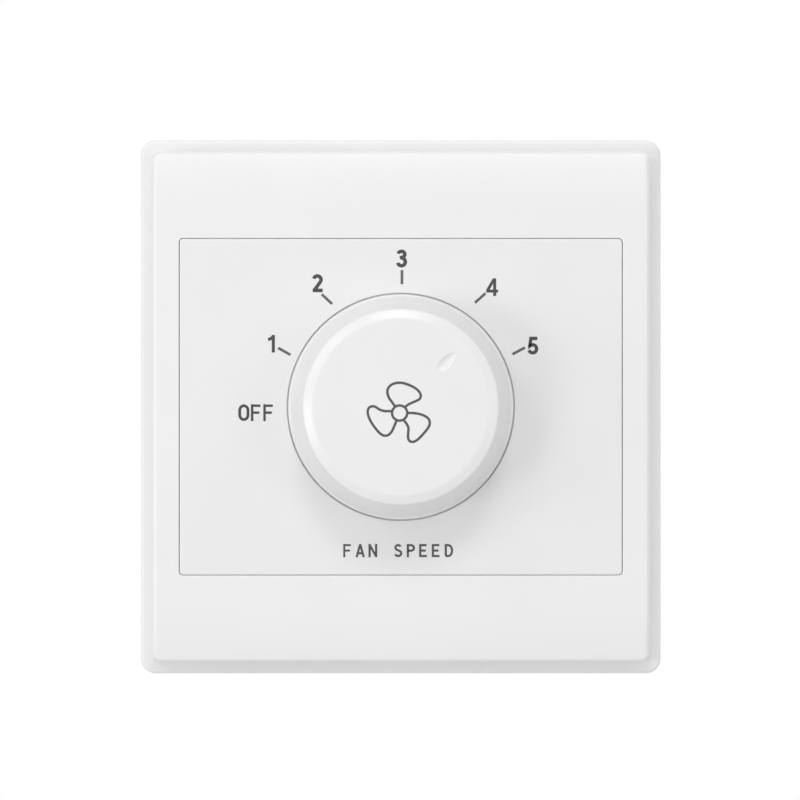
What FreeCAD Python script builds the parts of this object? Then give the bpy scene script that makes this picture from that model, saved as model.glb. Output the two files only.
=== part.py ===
import FreeCAD, Part
import math
import os

# Rotary fan speed controller for a square wall box: a white two-step wall plate with a flush
# rectangular panel, a tapered knob in a round well, and the regulator behind the wall.
# Millimetres. X is to the right, Y goes into the wall and Z is up. The wall is the plane y = 0,
# and the knob's axis is the Y axis. Angles on the dial are counter-clockwise from +X, seen from
# the front.

# Wall plate frame
plate_width = 86.0
plate_height = 88.2
plate_depth = 9.0          # wall to the front face
plate_corner = 2.5
flange_step = 2.0          # how far the thin outer flange stands out round the raised body
flange_height = 2.6
flange_round = 0.5
body_corner = 1.4
face_round = 0.8
roll_length = 9.0          # the top and bottom bands curve away over this length
roll_drop = 1.1
frame_wall = 2.0
cavity_corner = 0.7
root_sink = 0.5            # how far a rib, leg or post runs into the wall that carries it
window_corner = 0.7
window_round = 0.2
pry_slot_width = 8.0
pry_slot_height = 1.2

# Panel that fills the frame's window
side_band_width = 4.44     # frame's front face beside the window
end_band_width = 14.33     # frame's front face above and below the window
panel_wall = 2.0
panel_corner = 0.62
panel_round = 0.25
well_round = 0.12
side_seam_width = 0.1
end_seam_width = 0.07
rim_overlap = 1.1
rim_thickness = 1.2
well_depth = 0.5
well_gap = 0.24            # between the knob's lip and the well
well_floor = 1.8
well_rim = 1.6
collar_radius = 5.4
post_radius = 2.0
post_bore = 0.9
post_spacing = 8.0         # panel's leg to the post beside it

# Snap legs, which pass through the yoke and hook behind it
leg_thickness = 1.6
leg_hook = 0.8
leg_reach = 1.5
leg_play = 0.1
leg_side_play = 0.4
hook_room = 0.3            # panel's hooks to the yoke's bend
frame_leg_width = 6.0
frame_leg_side = 15.0      # cavity's side wall to the middle of the leg
frame_leg_inset = 5.6      # cavity's end wall to the middle of the leg
panel_leg_width = 5.0
panel_leg_inset = 7.75     # panel's edge to the middle of the leg
guide_rib = 1.2
guide_rib_height = 2.0
frame_rib = 1.0
frame_rib_side = 6.6       # cavity's side wall to the outermost rib
frame_rib_count = 4

# Mounting yoke: a shallow steel tray whose folded edges rest on the wall
yoke_sheet = 1.2
yoke_play = 1.0            # yoke's edge to the frame's inner wall
yoke_standoff = 2.0        # room behind the sheet for the hooks
yoke_bend = 1.8
yoke_relief = 3.0          # open corner of the tray
fixing_spacing = 60.3
fixing_slot_width = 4.2
fixing_slot_length = 8.0

# Knob
knob_height = 13.0         # plate face to the knob's face
knob_lip_radius = 18.54
knob_lip_width = 0.35
knob_lip_height = 0.7
knob_lip_round = 0.12
knob_crown_radius = 16.05  # edge where the bevelled crown meets the cone
knob_bevel_width = 1.6     # bevel between the flat face and that edge
knob_crown_tilt = 20.0     # slope of the bevel
knob_round = 1.5           # flat face into the bevel
knob_edge_round = 0.45     # bevel into the cone
knob_wall = 1.8
knob_face_wall = 2.2
knob_float = 0.3           # knob's back edge to the well's floor
knob_boss_radius = 5.0
knob_boss_inset = 0.3
knob_rib = 1.2
knob_rib_count = 6
knob_rib_inset = 2.0
knob_slit = 0.8
knob_slit_length = 5.2
dimple_radius = 10.45      # knob's axis to the middle of the pointer dimple
dimple_length = 4.9        # length, width and depth before the keel is rounded
dimple_width = 1.85
dimple_depth = 0.62
dimple_keel_round = 1.2
clip_sheet = 0.6
clip_width = 3.6
clip_inset = 0.6
clip_gap = 3.0
clip_play = 0.3            # clip to the ribs round it
opening_turn = 90.0        # pointer to the open side of the clip and the retaining ring

# Dial: pointer angle at rest and at the two ends of its travel
pointer_rest = 44.5
pointer_off = 180.0
pointer_fastest = 25.4

# Potentiometer with its switch
shaft_radius = 3.0
shaft_flat = 1.5           # axis to the flat
shaft_flat_run = 0.5       # how far the flat goes on past the knob's boss
shaft_end_gap = 0.4
shaft_tail_radius = 1.8
shaft_running = 0.04
shaft_fit = 0.05
bush_radius = 4.45
bush_length = 5.0          # in front of the can
bush_flange_radius = 6.0
bush_flange = 0.6
thread_play = 0.05
washer_radius = 7.0
washer_thickness = 0.6
washer_teeth = 8
washer_tooth_gap = 1.4
washer_tooth_length = 1.4
nut_across_flats = 12.0
nut_thickness = 2.4
nut_bevel = 0.55
nut_bevel_width = 0.9
ring_radius = 4.4
ring_thickness = 0.5
ring_groove_radius = 2.5
ring_gap = 2.4
ring_play = 0.3            # bush's front to the ring
can_radius = 12.0
can_length = 9.4
can_wall = 1.0
can_sheet = 0.6
can_tab_radius = 8.5
can_tab_width = 2.4
can_tab_thickness = 1.0
stop_post_radius = 0.9
stop_circle = 9.2
stop_play = 0.3
rotor_radius = 7.2
rotor_hub_radius = 4.2
rotor_thickness = 2.0
rotor_lug_width = 2.0
rotor_gap = 0.3
wiper_sheet = 0.3
wiper_arm_width = 1.6
wiper_circle = 8.6
wiper_gap = 0.12
track_thickness = 1.0
track_hole = 3.6
track_play = 0.1
switch_length = 8.7
switch_wall = 1.0
driver_radius = 3.4
driver_thickness = 2.0
driver_arm_reach = 7.5
driver_arm_width = 2.0
driver_gap = 0.8
lever_width = 1.6
lever_length = 4.6
lever_pin_radius = 0.8
contact_sheet = 0.5
contact_width = 3.0
pin_sheet = 0.5
pin_width = 1.2
pin_pitch = 5.0
pin_root = 3.0             # how far a pin reaches in over the track board
pin_hole = 0.38

# Rear housing
housing_width = 51.0
housing_height = 54.0
housing_depth = 28.5       # behind the wall plane
housing_wall = 1.8
housing_corner = 3.0
housing_round = 1.5
boss_radius = 2.8
boss_sink = 0.6            # how far a boss runs into the walls beside it
screw_radius = 1.3
screw_play = 0.02
screw_clearance = 0.25
screw_head_radius = 2.4
screw_head_height = 1.5
screw_length = 9.0
screw_head_round = 0.75
screw_slot = 0.7
screw_slot_depth = 0.75
screw_depth_play = 2.0
ledge_width = 3.0
ledge_z = 8.0
vent_width = 2.2
vent_pitch = 5.0
vent_count = 7
vent_start = 5.5
vent_length = 12.0
rear_vent_length = 18.0
rear_vent_z = 9.0

# Circuit board and what is soldered to it
board_play = 0.9
part_room = 1.0            # housing's side wall to the nearest parts on the board
board_thickness = 1.6
board_gap = 1.5            # switch to board
lead_radius = 0.35
lead_play = 0.15
lead_reach = 0.8
lead_root = 1.0            # how far a lead runs up into its component
lead_bend = 0.7
sink_sheet = 1.5
sink_side_room = 7.2       # housing's inner wall to the sink's side
sink_top_room = 1.2
sink_flange = 3.0
sink_gap = 0.8             # yoke to the sink's front edge
triac_width = 10.0
triac_body = 9.2
triac_body_thickness = 4.5
triac_tab = 6.0
triac_tab_thickness = 1.3
triac_lead_length = 2.6
triac_pitch = 2.54
triac_lead_radius = 0.55
triac_screw_radius = 1.5
triac_screw_head = 2.7
triac_screw_head_height = 2.0
triac_slot_depth = 1.0
triac_screw_tail = 1.0
film_width = 6.0
film_length = 13.0
film_height = 12.0
film_pitch = 10.0
film_round = 0.5
film_z = -2.0
timing_width = 7.2
timing_length = 2.6
timing_height = 6.5
timing_pitch = 5.0
timing_z = 12.4
choke_radius = 5.0
choke_hub_radius = 2.2
choke_height = 12.0
choke_flange = 1.5
choke_winding_inset = 0.5
choke_turns = 9
choke_groove = 0.35
choke_z = -12.2
fuse_radius = 4.1
fuse_height = 8.0
fuse_pitch = 5.0
fuse_round = 0.5
fuse_z = 9.6
resistor_radius = 1.2
resistor_length = 6.4
resistor_pitch = 3.2
resistor_z = -0.8
diac_radius = 0.95
diac_length = 4.0
diac_z = -14.4
axial_lead_span = 1.2

# Terminals
block_width = 24.0
block_height = 12.5
block_round = 0.4
block_play = 0.2
pole_spacing = 11.2
clamp_width = 7.0
clamp_height = 8.0
clamp_depth = 7.0
clamp_play = 0.1
clamp_front = 0.5
wire_radius = 2.1
funnel_radius = 2.8
wire_depth = 3.3           # clamp's front face to the wire's axis
terminal_screw_radius = 1.8
terminal_head_radius = 2.6
terminal_head_height = 1.6
terminal_slot = 0.8
terminal_slot_depth = 0.8
terminal_pin_radius = 0.6

# Sizes that follow from those above
face_y = -plate_depth
inner_face_y = face_y + frame_wall
body_width = plate_width - 2 * flange_step
body_height = plate_height - 2 * flange_step
cavity_width = body_width - 2 * frame_wall
cavity_height = body_height - 2 * frame_wall
window_width = body_width - 2 * side_band_width
window_height = body_height - 2 * end_band_width
panel_width = window_width - 2 * side_seam_width
panel_height = window_height - 2 * end_seam_width
rim_width = window_width + 2 * rim_overlap
rim_height = window_height + 2 * rim_overlap
panel_back_y = face_y + panel_wall
rim_back_y = inner_face_y + rim_thickness
seat_y = -yoke_standoff    # back of the yoke's sheet, which the can and the housing meet
yoke_front_y = seat_y - yoke_sheet
yoke_width = cavity_width - 2 * yoke_play
yoke_height = cavity_height - 2 * yoke_play
frame_leg_z = cavity_height / 2 - frame_leg_inset
frame_leg_x = cavity_width / 2 - frame_leg_side
frame_rib_pitch = (cavity_width - 2 * frame_rib_side) / (frame_rib_count - 1)
panel_leg_z = panel_height / 2 - panel_leg_inset
post_z = panel_leg_z - post_spacing
leg_end_y = seat_y + leg_reach
panel_leg_x = yoke_width / 2 - yoke_bend - hook_room - leg_hook - leg_thickness / 2
well_radius = knob_lip_radius + well_gap
well_floor_y = face_y + well_depth
well_back_y = well_floor_y + well_floor
knob_top_y = face_y - knob_height
knob_crown_y = knob_top_y + knob_bevel_width * math.tan(math.radians(knob_crown_tilt))
knob_base_y = well_floor_y - knob_float
knob_boss_y = knob_base_y - knob_boss_inset
knob_inner_y = knob_top_y + knob_face_wall
bore_end_y = knob_inner_y + knob_boss_inset
shaft_end_y = bore_end_y + shaft_end_gap
can_inner_radius = can_radius - can_sheet
can_wall_y = seat_y + can_wall
bush_front_y = seat_y - bush_length
ring_y = bush_front_y - ring_play - ring_thickness
rotor_front_y = can_wall_y + bush_flange + rotor_gap
rotor_back_y = rotor_front_y + 2 * rotor_thickness
can_back_y = seat_y + can_length
track_back_y = can_back_y - can_sheet
track_front_y = track_back_y - track_thickness
switch_back_y = track_back_y + switch_length
driver_front_y = track_back_y + switch_wall + driver_gap
driver_back_y = driver_front_y + driver_thickness
board_front_y = switch_back_y + board_gap
board_back_y = board_front_y + board_thickness
lead_end_y = board_back_y + lead_reach
back_wall_y = housing_depth - housing_wall
inner_width = housing_width - 2 * housing_wall
inner_height = housing_height - 2 * housing_wall
screw_end_y = seat_y + screw_length
sink_width = inner_width - 2 * sink_side_room
sink_z = inner_height / 2 - sink_top_room - sink_flange - sink_sheet
near_wall_x = inner_width / 2 - part_room
film_place = (near_wall_x - film_width / 2, film_z)
timing_place = (near_wall_x - timing_width / 2, timing_z)
choke_place = (choke_radius - near_wall_x, choke_z)
fuse_place = (fuse_radius - near_wall_x, fuse_z)
diac_place = (near_wall_x - diac_radius, diac_z)
resistor_places = [
    (resistor_radius - near_wall_x + step * resistor_pitch, resistor_z) for step in (0, 1)
]
boss_x = inner_width / 2 - boss_radius + boss_sink
boss_z = inner_height / 2 - boss_radius + boss_sink
block_bottom_z = -housing_height / 2
block_top_z = block_bottom_z + block_height
clamp_z = block_bottom_z + block_height / 2 + clamp_play
clamp_y = board_back_y + clamp_front
wire_y = clamp_y + wire_depth

to_back = FreeCAD.Vector(0, 1, 0)
to_right = FreeCAD.Vector(1, 0, 0)
upward = FreeCAD.Vector(0, 0, 1)
centre = FreeCAD.Vector(0, 0, 0)


def place(x, y, z):
    return FreeCAD.Vector(x, y, z)


def block(x_low, x_high, y_low, y_high, z_low, z_high):
    return Part.makeBox(x_high - x_low, y_high - y_low, z_high - z_low, place(x_low, y_low, z_low))


def centred_block(width, height, y_low, y_high, x=0.0, z=0.0):
    return block(x - width / 2, x + width / 2, y_low, y_high, z - height / 2, z + height / 2)


def rod(radius, y_low, y_high, x=0.0, z=0.0):
    """Cylinder along Y."""
    return Part.makeCylinder(radius, y_high - y_low, place(x, y_low, z), to_back)


def tube(outer, inner, y_low, y_high, x=0.0, z=0.0):
    return rod(outer, y_low, y_high, x, z).cut(rod(inner, y_low, y_high, x, z))


def joined(pieces):
    first, *rest = pieces
    return first.fuse(rest).removeSplitter() if rest else first


def middle(edge):
    return edge.valueAt((edge.FirstParameter + edge.LastParameter) / 2)


def runs_along(edge, direction):
    """True for a straight edge parallel to the direction."""
    line = edge.Vertexes[-1].Point.sub(edge.Vertexes[0].Point)
    return line.Length > 1e-6 and line.cross(direction).Length < 1e-6 * line.Length


def rounded(shape, radius, test):
    """Rounds every edge that the test picks."""
    return shape.makeFillet(radius, [edge for edge in shape.Edges if test(edge)])


def rounded_plate(width, height, corner, y_low, y_high, x=0.0, z=0.0):
    plate = centred_block(width, height, y_low, y_high, x, z)
    return rounded(plate, corner, lambda edge: runs_along(edge, to_back))


def on_plane_y(edge, y):
    box = edge.BoundBox
    return abs(box.YMin - y) < 1e-5 and abs(box.YMax - y) < 1e-5


def on_plane_z(edge, z):
    box = edge.BoundBox
    return abs(box.ZMin - z) < 1e-5 and abs(box.ZMax - z) < 1e-5


def slot_along_x(width, length, y_low, y_high, x, z):
    """Cutter for a round-ended slot through a sheet, with its length along X."""
    half = (length - width) / 2
    ends = [rod(width / 2, y_low, y_high, x + side * half, z) for side in (-1, 1)]
    return joined([centred_block(2 * half, width, y_low, y_high, x, z), *ends])


def vent_in_wall(width, start, end, x, z_low, z_high):
    """Cutter for a round-ended slot along Y through a level wall."""
    ends = [
        Part.makeCylinder(width / 2, z_high - z_low, place(x, y, z_low), upward)
        for y in (start + width / 2, end - width / 2)
    ]
    return joined([block(x - width / 2, x + width / 2, start + width / 2, end - width / 2,
                         z_low, z_high), *ends])


def vent_in_back(width, length, x, z, y_low, y_high):
    """Cutter for a round-ended upright slot through the back wall."""
    half = (length - width) / 2
    ends = [rod(width / 2, y_low, y_high, x, z + side * half) for side in (-1, 1)]
    return joined([centred_block(width, 2 * half, y_low, y_high, x, z), *ends])


def revolved(points):
    """Turns an outline of (radius, y) points about the Y axis."""
    outline = Part.makePolygon([place(radius, y, 0) for radius, y in [*points, points[0]]])
    return Part.Face(outline).revolve(centre, to_back, 360)


def turned_to(shape, angle):
    """Turns a piece made towards +X to a dial angle."""
    turned = shape.copy()
    turned.rotate(centre, to_back, -angle)
    return turned


def polar(radius, angle):
    """(x, z) of a point at a dial angle."""
    return radius * math.cos(math.radians(angle)), radius * math.sin(math.radians(angle))


def pillow(width, height, depth, corner):
    """Body with a flat front whose top and bottom ends curve away, and rounded upright corners."""
    bend = (roll_length ** 2 + roll_drop ** 2) / (2 * roll_drop)
    half_drop = bend - math.sqrt(bend ** 2 - (roll_length / 2) ** 2)
    flat = height / 2 - roll_length

    def point(y, z):
        return place(-width / 2, y, z)

    def roll(side):
        return Part.Arc(
            point(-depth, side * flat),
            point(-depth + half_drop, side * (flat + roll_length / 2)),
            point(-depth + roll_drop, side * height / 2),
        ).toShape()

    lines = [
        Part.makeLine(point(-depth, -flat), point(-depth, flat)),
        Part.makeLine(point(-depth + roll_drop, height / 2), point(0, height / 2)),
        Part.makeLine(point(0, height / 2), point(0, -height / 2)),
        Part.makeLine(point(0, -height / 2), point(-depth + roll_drop, -height / 2)),
    ]
    outline = Part.Wire(Part.__sortEdges__([roll(1), roll(-1), *lines]))
    body = Part.Face(outline).extrude(place(width, 0, 0))
    return rounded(body, corner, lambda edge: runs_along(edge, to_back))


def front_rim_of(width, height, depth, corner):
    """Test for the edges round the front of a pillow, for rounding them."""
    def test(edge):
        point = middle(edge)
        near_side = abs(point.x) > width / 2 - corner
        near_end = abs(point.z) > height / 2 - corner
        at_front = edge.BoundBox.YMax < -depth + roll_drop + 1e-4
        return at_front and (near_side or near_end)
    return test


def snap_leg(start_y, width, thickness):
    """Leg from start_y back through the yoke, centred on the Y axis, with its hook towards +Z."""
    outer = thickness / 2
    leg = block(-width / 2, width / 2, start_y, leg_end_y, -outer, outer)
    hook_y = seat_y + leg_play / 2
    nose = Part.makePolygon([
        place(-width / 2, hook_y, outer),
        place(-width / 2, hook_y, outer + leg_hook),
        place(-width / 2, leg_end_y, outer),
        place(-width / 2, hook_y, outer),
    ])
    return leg.fuse(Part.Face(nose).extrude(place(width, 0, 0))).removeSplitter()


def leg_window(width, thickness):
    """Cutter for the hole in the yoke that lets the leg flex inwards and its hook pass."""
    low = -thickness / 2 - leg_hook - leg_play
    return block(-width / 2 - leg_side_play, width / 2 + leg_side_play, yoke_front_y, seat_y,
                 low, thickness / 2 + leg_play)


def at_frame_legs(piece):
    """Copies of a piece at the frame's four legs, with +Z turned outwards."""
    copies = []
    for side in (-1, 1):
        for end in (-1, 1):
            copy = piece.copy()
            if end < 0:
                copy.rotate(centre, to_back, 180)
            copy.translate(place(side * frame_leg_x, 0, end * frame_leg_z))
            copies.append(copy)
    return copies


def at_panel_legs(piece):
    """Copies of a piece at the panel's four legs, with +Z turned outwards."""
    copies = []
    for side in (-1, 1):
        for end in (-1, 1):
            copy = piece.copy()
            copy.rotate(centre, to_back, side * 90)
            copy.translate(place(side * panel_leg_x, 0, end * panel_leg_z))
            copies.append(copy)
    return copies


def make_face_frame():
    """Moulded outer frame: flange, raised pillow body, window, guide ribs and snap legs."""
    body = pillow(body_width, body_height, plate_depth, body_corner)
    rim = front_rim_of(body_width, body_height, plate_depth, body_corner)
    body = rounded(body, face_round, rim)
    flange = rounded_plate(plate_width, plate_height, plate_corner, -flange_height, 0)
    flange = rounded(flange, flange_round, lambda edge: on_plane_y(edge, -flange_height))
    cavity = pillow(cavity_width, cavity_height, plate_depth - frame_wall, cavity_corner)
    window = rounded_plate(window_width, window_height, window_corner, face_y, inner_face_y)
    shell = body.fuse(flange).cut(cavity).cut(window).removeSplitter()

    def at_window(edge):
        point = middle(edge)
        inside = abs(point.x) < window_width / 2 + 1e-4 and abs(point.z) < window_height / 2 + 1e-4
        return inside and on_plane_y(edge, face_y)

    shell = rounded(shell, window_round, at_window)
    guide_z = rim_height / 2 + leg_play + guide_rib / 2
    guide_end_y = inner_face_y + guide_rib_height
    root_y = inner_face_y - root_sink
    ribs = [
        centred_block(window_width, guide_rib, root_y, guide_end_y, 0, end * guide_z)
        for end in (-1, 1)
    ]
    core = pillow(cavity_width + 2 * root_sink, cavity_height + 2 * root_sink,
                  plate_depth - frame_wall + root_sink, cavity_corner)
    for end in (-1, 1):
        low, high = sorted((end * guide_z, end * body_height / 2))
        for step in range(frame_rib_count):
            x = (step - (frame_rib_count - 1) / 2) * frame_rib_pitch
            web = block(x - frame_rib / 2, x + frame_rib / 2, root_y, guide_end_y, low, high)
            ribs.append(web.common(core))
    legs = at_frame_legs(snap_leg(root_y, frame_leg_width, leg_thickness))
    pry_slot = block(-pry_slot_width / 2, pry_slot_width / 2, -pry_slot_height, 0,
                     -plate_height / 2, -cavity_height / 2)
    return shell.fuse([*ribs, *legs]).cut(pry_slot).removeSplitter()


def make_insert_panel():
    """Panel with its hidden rim, the knob's well, a collar for the shaft, posts and snap legs."""
    plate = rounded_plate(panel_width, panel_height, panel_corner, face_y, panel_back_y)
    plate = rounded(plate, panel_round, lambda edge: on_plane_y(edge, face_y))
    rim = centred_block(rim_width, rim_height, inner_face_y, rim_back_y)
    pocket = centred_block(panel_width - 2 * panel_wall, panel_height - 2 * panel_wall,
                           panel_back_y, rim_back_y)
    well_boss = rod(well_radius + well_rim, panel_back_y - root_sink, well_back_y)
    well = rod(well_radius, face_y, well_floor_y)
    collar = rod(collar_radius, well_floor_y, well_back_y)
    root_y = panel_back_y - root_sink
    posts = []
    bores = []
    for side in (-1, 1):
        for end in (-1, 1):
            x, z = side * panel_leg_x, end * post_z
            posts.append(rod(post_radius, root_y, yoke_front_y, x, z))
            bores.append(rod(post_bore, rim_back_y, yoke_front_y, x, z))
    legs = at_panel_legs(snap_leg(root_y, panel_leg_width, leg_thickness))
    panel = plate.fuse(rim.cut(pocket)).fuse([well_boss, *posts, *legs])
    panel = panel.cut([well, collar, *bores]).removeSplitter()

    def at_well(edge):
        return on_plane_y(edge, face_y) and abs(edge.BoundBox.XLength - 2 * well_radius) < 1e-3

    return rounded(panel, well_round, at_well)


def make_mounting_yoke():
    """Shallow sheet steel tray: a flat sheet, four edges folded to the wall and open corners."""
    outer = centred_block(yoke_width, yoke_height, yoke_front_y, 0)

    def front_edge(edge):
        return on_plane_y(edge, yoke_front_y)

    def inner_edge(edge):
        return on_plane_y(edge, seat_y)

    outer = rounded(outer, yoke_bend, front_edge)
    inner = centred_block(yoke_width - 2 * yoke_sheet, yoke_height - 2 * yoke_sheet, seat_y, 0)
    inner = rounded(inner, yoke_bend - yoke_sheet, inner_edge)
    tray = outer.cut(inner)
    cuts = [
        block(*sorted((side * (yoke_width / 2 - yoke_relief), side * yoke_width / 2)),
              yoke_front_y, 0,
              *sorted((end * (yoke_height / 2 - yoke_relief), end * yoke_height / 2)))
        for side in (-1, 1) for end in (-1, 1)
    ]
    cuts.append(rod(bush_radius + thread_play, yoke_front_y, seat_y))
    for side in (-1, 1):
        cuts.append(slot_along_x(fixing_slot_width, fixing_slot_length, yoke_front_y, seat_y,
                                 side * fixing_spacing / 2, 0))
        for end in (-1, 1):
            cuts.append(rod(screw_radius + screw_clearance, yoke_front_y, seat_y,
                            side * boss_x, end * boss_z))
    cuts.extend(at_frame_legs(leg_window(frame_leg_width, leg_thickness)))
    cuts.extend(at_panel_legs(leg_window(panel_leg_width, leg_thickness)))
    cuts.append(centred_block(can_tab_thickness + 2 * screw_clearance,
                              can_tab_width + 2 * screw_clearance,
                              yoke_front_y, seat_y, can_tab_radius))
    return tray.cut(cuts).removeSplitter()


def knob_radius_at(y):
    """Outer radius of the knob's cone."""
    cone_base = knob_lip_radius - knob_lip_width
    share = (y - knob_crown_y) / (knob_base_y - knob_lip_height - knob_crown_y)
    return knob_crown_radius + (cone_base - knob_crown_radius) * share


def make_knob():
    """Hollow tapered knob: lip, bevelled crown, pointer dimple, ribs and a slit boss with a flat."""
    lip_y = knob_base_y - knob_lip_height
    outside = revolved([
        (0, knob_top_y),
        (knob_crown_radius - knob_bevel_width, knob_top_y),
        (knob_crown_radius, knob_crown_y),
        (knob_lip_radius - knob_lip_width, lip_y),
        (knob_lip_radius, lip_y),
        (knob_lip_radius, knob_base_y),
        (0, knob_base_y),
    ])
    outside = rounded(outside, knob_round, lambda edge: on_plane_y(edge, knob_top_y))
    outside = rounded(outside, knob_edge_round, lambda edge: on_plane_y(edge, knob_crown_y))

    def lip_edge(edge):
        wide = abs(edge.BoundBox.XLength - 2 * knob_lip_radius) < 1e-3
        return on_plane_y(edge, lip_y) and wide

    outside = rounded(outside, knob_lip_round, lip_edge)
    hollow = revolved([
        (0, knob_inner_y),
        (knob_radius_at(knob_inner_y) - knob_wall, knob_inner_y),
        (knob_radius_at(knob_base_y) - knob_wall, knob_base_y),
        (0, knob_base_y),
    ])
    root_y = knob_inner_y - root_sink
    inside = revolved([
        (0, root_y),
        (knob_radius_at(root_y) - knob_wall + root_sink, root_y),
        (knob_radius_at(knob_base_y) - knob_wall + root_sink, knob_base_y),
        (0, knob_base_y),
    ])
    rib = block(0, knob_lip_radius, root_y, knob_base_y - knob_rib_inset, -knob_rib / 2, knob_rib / 2)
    ribs = [
        turned_to(rib, step * 360 / knob_rib_count).common(inside) for step in range(knob_rib_count)
    ]
    boss = rod(knob_boss_radius, root_y, knob_boss_y)
    knob = outside.cut(hollow).fuse([boss, *ribs])
    bore = d_section(shaft_radius + shaft_fit, shaft_flat + shaft_fit, bore_end_y, knob_boss_y)
    slit = block(-knob_boss_radius, knob_boss_radius, knob_boss_y - knob_slit_length, knob_boss_y,
                 -knob_slit / 2, knob_slit / 2)
    clip_room = tube(knob_boss_radius + clip_sheet + clip_play, knob_boss_radius,
                     knob_boss_y - clip_inset - clip_width - clip_play, knob_boss_y)
    knob = knob.cut([clip_room, turned_to(bore, pointer_rest), turned_to(slit, pointer_rest)])
    return knob.cut(turned_to(dimple(), pointer_rest)).removeSplitter()


def dimple():
    """Cutter for the leaf-shaped pointer dimple: two balls' common lens with its keel rounded."""
    half_length = dimple_length / 2
    half_width = dimple_width / 2
    keel_radius = (half_length ** 2 + dimple_depth ** 2) / (2 * dimple_depth)
    offset = (half_length ** 2 - half_width ** 2) / (2 * half_width)
    ball_radius = math.hypot(keel_radius, offset)
    ball_y = knob_top_y + dimple_depth - keel_radius
    balls = [
        Part.makeSphere(ball_radius, place(dimple_radius, ball_y, side * offset)) for side in (-1, 1)
    ]
    return rounded(balls[0].common(balls[1]), dimple_keel_round, lambda edge: on_plane_z(edge, 0))


def d_section(radius, flat, y_low, y_high):
    """Round bar with one flat, the flat towards +X."""
    return rod(radius, y_low, y_high).cut(block(flat, radius, y_low, y_high, -radius, radius))


def make_knob_clip():
    """Spring steel ring that closes the knob's slit boss on the shaft."""
    front_y = knob_boss_y - clip_inset - clip_width
    ring = tube(knob_boss_radius + clip_sheet, knob_boss_radius, front_y, front_y + clip_width)
    opening = block(0, knob_boss_radius + clip_sheet, front_y, front_y + clip_width,
                    -clip_gap / 2, clip_gap / 2)
    return turned_to(ring.cut(opening), pointer_rest + opening_turn)


def make_shaft():
    """Steel shaft: flat for the knob, groove for its ring, and a thin tail to the switch."""
    flat_end_y = knob_boss_y + shaft_flat_run
    flatted = d_section(shaft_radius, shaft_flat, shaft_end_y, flat_end_y)
    plain = rod(shaft_radius, flat_end_y, rotor_back_y)
    groove = tube(shaft_radius, ring_groove_radius, ring_y, ring_y + ring_thickness)
    tail = rod(shaft_tail_radius, rotor_back_y, driver_back_y)
    shaft = joined([flatted, plain, tail]).cut(groove)
    return turned_to(shaft, pointer_rest)


def make_retaining_ring():
    """Open ring in the shaft's groove, just in front of the bush."""
    ring = tube(ring_radius, ring_groove_radius, ring_y, ring_y + ring_thickness)
    opening = block(0, ring_radius, ring_y, ring_y + ring_thickness, -ring_gap / 2, ring_gap / 2)
    return turned_to(ring.cut(opening), pointer_rest + opening_turn)


def make_bush():
    """Threaded brass bush that clamps the potentiometer to the yoke."""
    outside = joined([
        rod(bush_radius, bush_front_y, can_wall_y),
        rod(bush_flange_radius, can_wall_y, can_wall_y + bush_flange),
    ])
    return outside.cut(rod(shaft_radius + shaft_running, bush_front_y, can_wall_y + bush_flange))


def make_lock_washer():
    front_y = yoke_front_y - washer_thickness
    ring = tube(washer_radius, bush_radius + thread_play, front_y, yoke_front_y)
    notch = block(washer_radius - washer_tooth_length, washer_radius, front_y, yoke_front_y,
                  -washer_tooth_gap / 2, washer_tooth_gap / 2)
    return ring.cut([turned_to(notch, step * 360 / washer_teeth) for step in range(washer_teeth)])


def make_bush_nut():
    back_y = yoke_front_y - washer_thickness
    front_y = back_y - nut_thickness
    corner = nut_across_flats / math.sqrt(3)
    points = [place(corner * math.cos(math.radians(60 * step)), front_y,
                    corner * math.sin(math.radians(60 * step))) for step in range(7)]
    nut = Part.Face(Part.makePolygon(points)).extrude(place(0, nut_thickness, 0))
    crown = revolved([
        (0, front_y),
        (corner - nut_bevel_width, front_y),
        (corner, front_y + nut_bevel),
        (corner, back_y),
        (0, back_y),
    ])
    return nut.common(crown).cut(rod(bush_radius + thread_play, front_y, back_y))


def stop_angle_step():
    """Angle from the rotor lug's middle to a stop post that it just clears."""
    distance = rotor_lug_width / 2 + stop_post_radius + stop_play
    return math.degrees(math.asin(distance / stop_circle))


def lug_angle(pointer):
    return pointer + 180


def make_can():
    """Pressed can of the potentiometer, with its locating tab and the two end stops."""
    cup = rod(can_radius, seat_y, can_back_y).cut(rod(can_inner_radius, can_wall_y, can_back_y))
    tab = centred_block(can_tab_thickness, can_tab_width, yoke_front_y, can_wall_y, can_tab_radius)
    posts = []
    for pointer, side in ((pointer_fastest, -1), (pointer_off, 1)):
        x, z = polar(stop_circle, lug_angle(pointer) + side * stop_angle_step())
        posts.append(rod(stop_post_radius, seat_y, rotor_front_y + rotor_thickness, x, z))
    hole = rod(bush_radius + thread_play / 2, seat_y, can_wall_y)
    pin_gap = block(-pin_pitch - 2 * pin_width, pin_pitch + 2 * pin_width,
                    track_front_y - 2 * pin_sheet, can_back_y, -can_radius, 0)
    return joined([cup, tab, *posts]).cut([hole, pin_gap])


def make_rotor():
    """Moulded rotor keyed on the shaft, with the lug that meets the stops."""
    disc = rod(rotor_radius, rotor_front_y, rotor_front_y + rotor_thickness)
    hub = rod(rotor_hub_radius, rotor_front_y, rotor_back_y)
    lug_reach = stop_circle + stop_post_radius
    lug = block(0, lug_reach, rotor_front_y, rotor_front_y + rotor_thickness,
                -rotor_lug_width / 2, rotor_lug_width / 2)
    rotor = joined([disc, hub, turned_to(lug, lug_angle(pointer_rest))])
    return rotor.cut(rod(shaft_radius, rotor_front_y, rotor_back_y))


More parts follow.
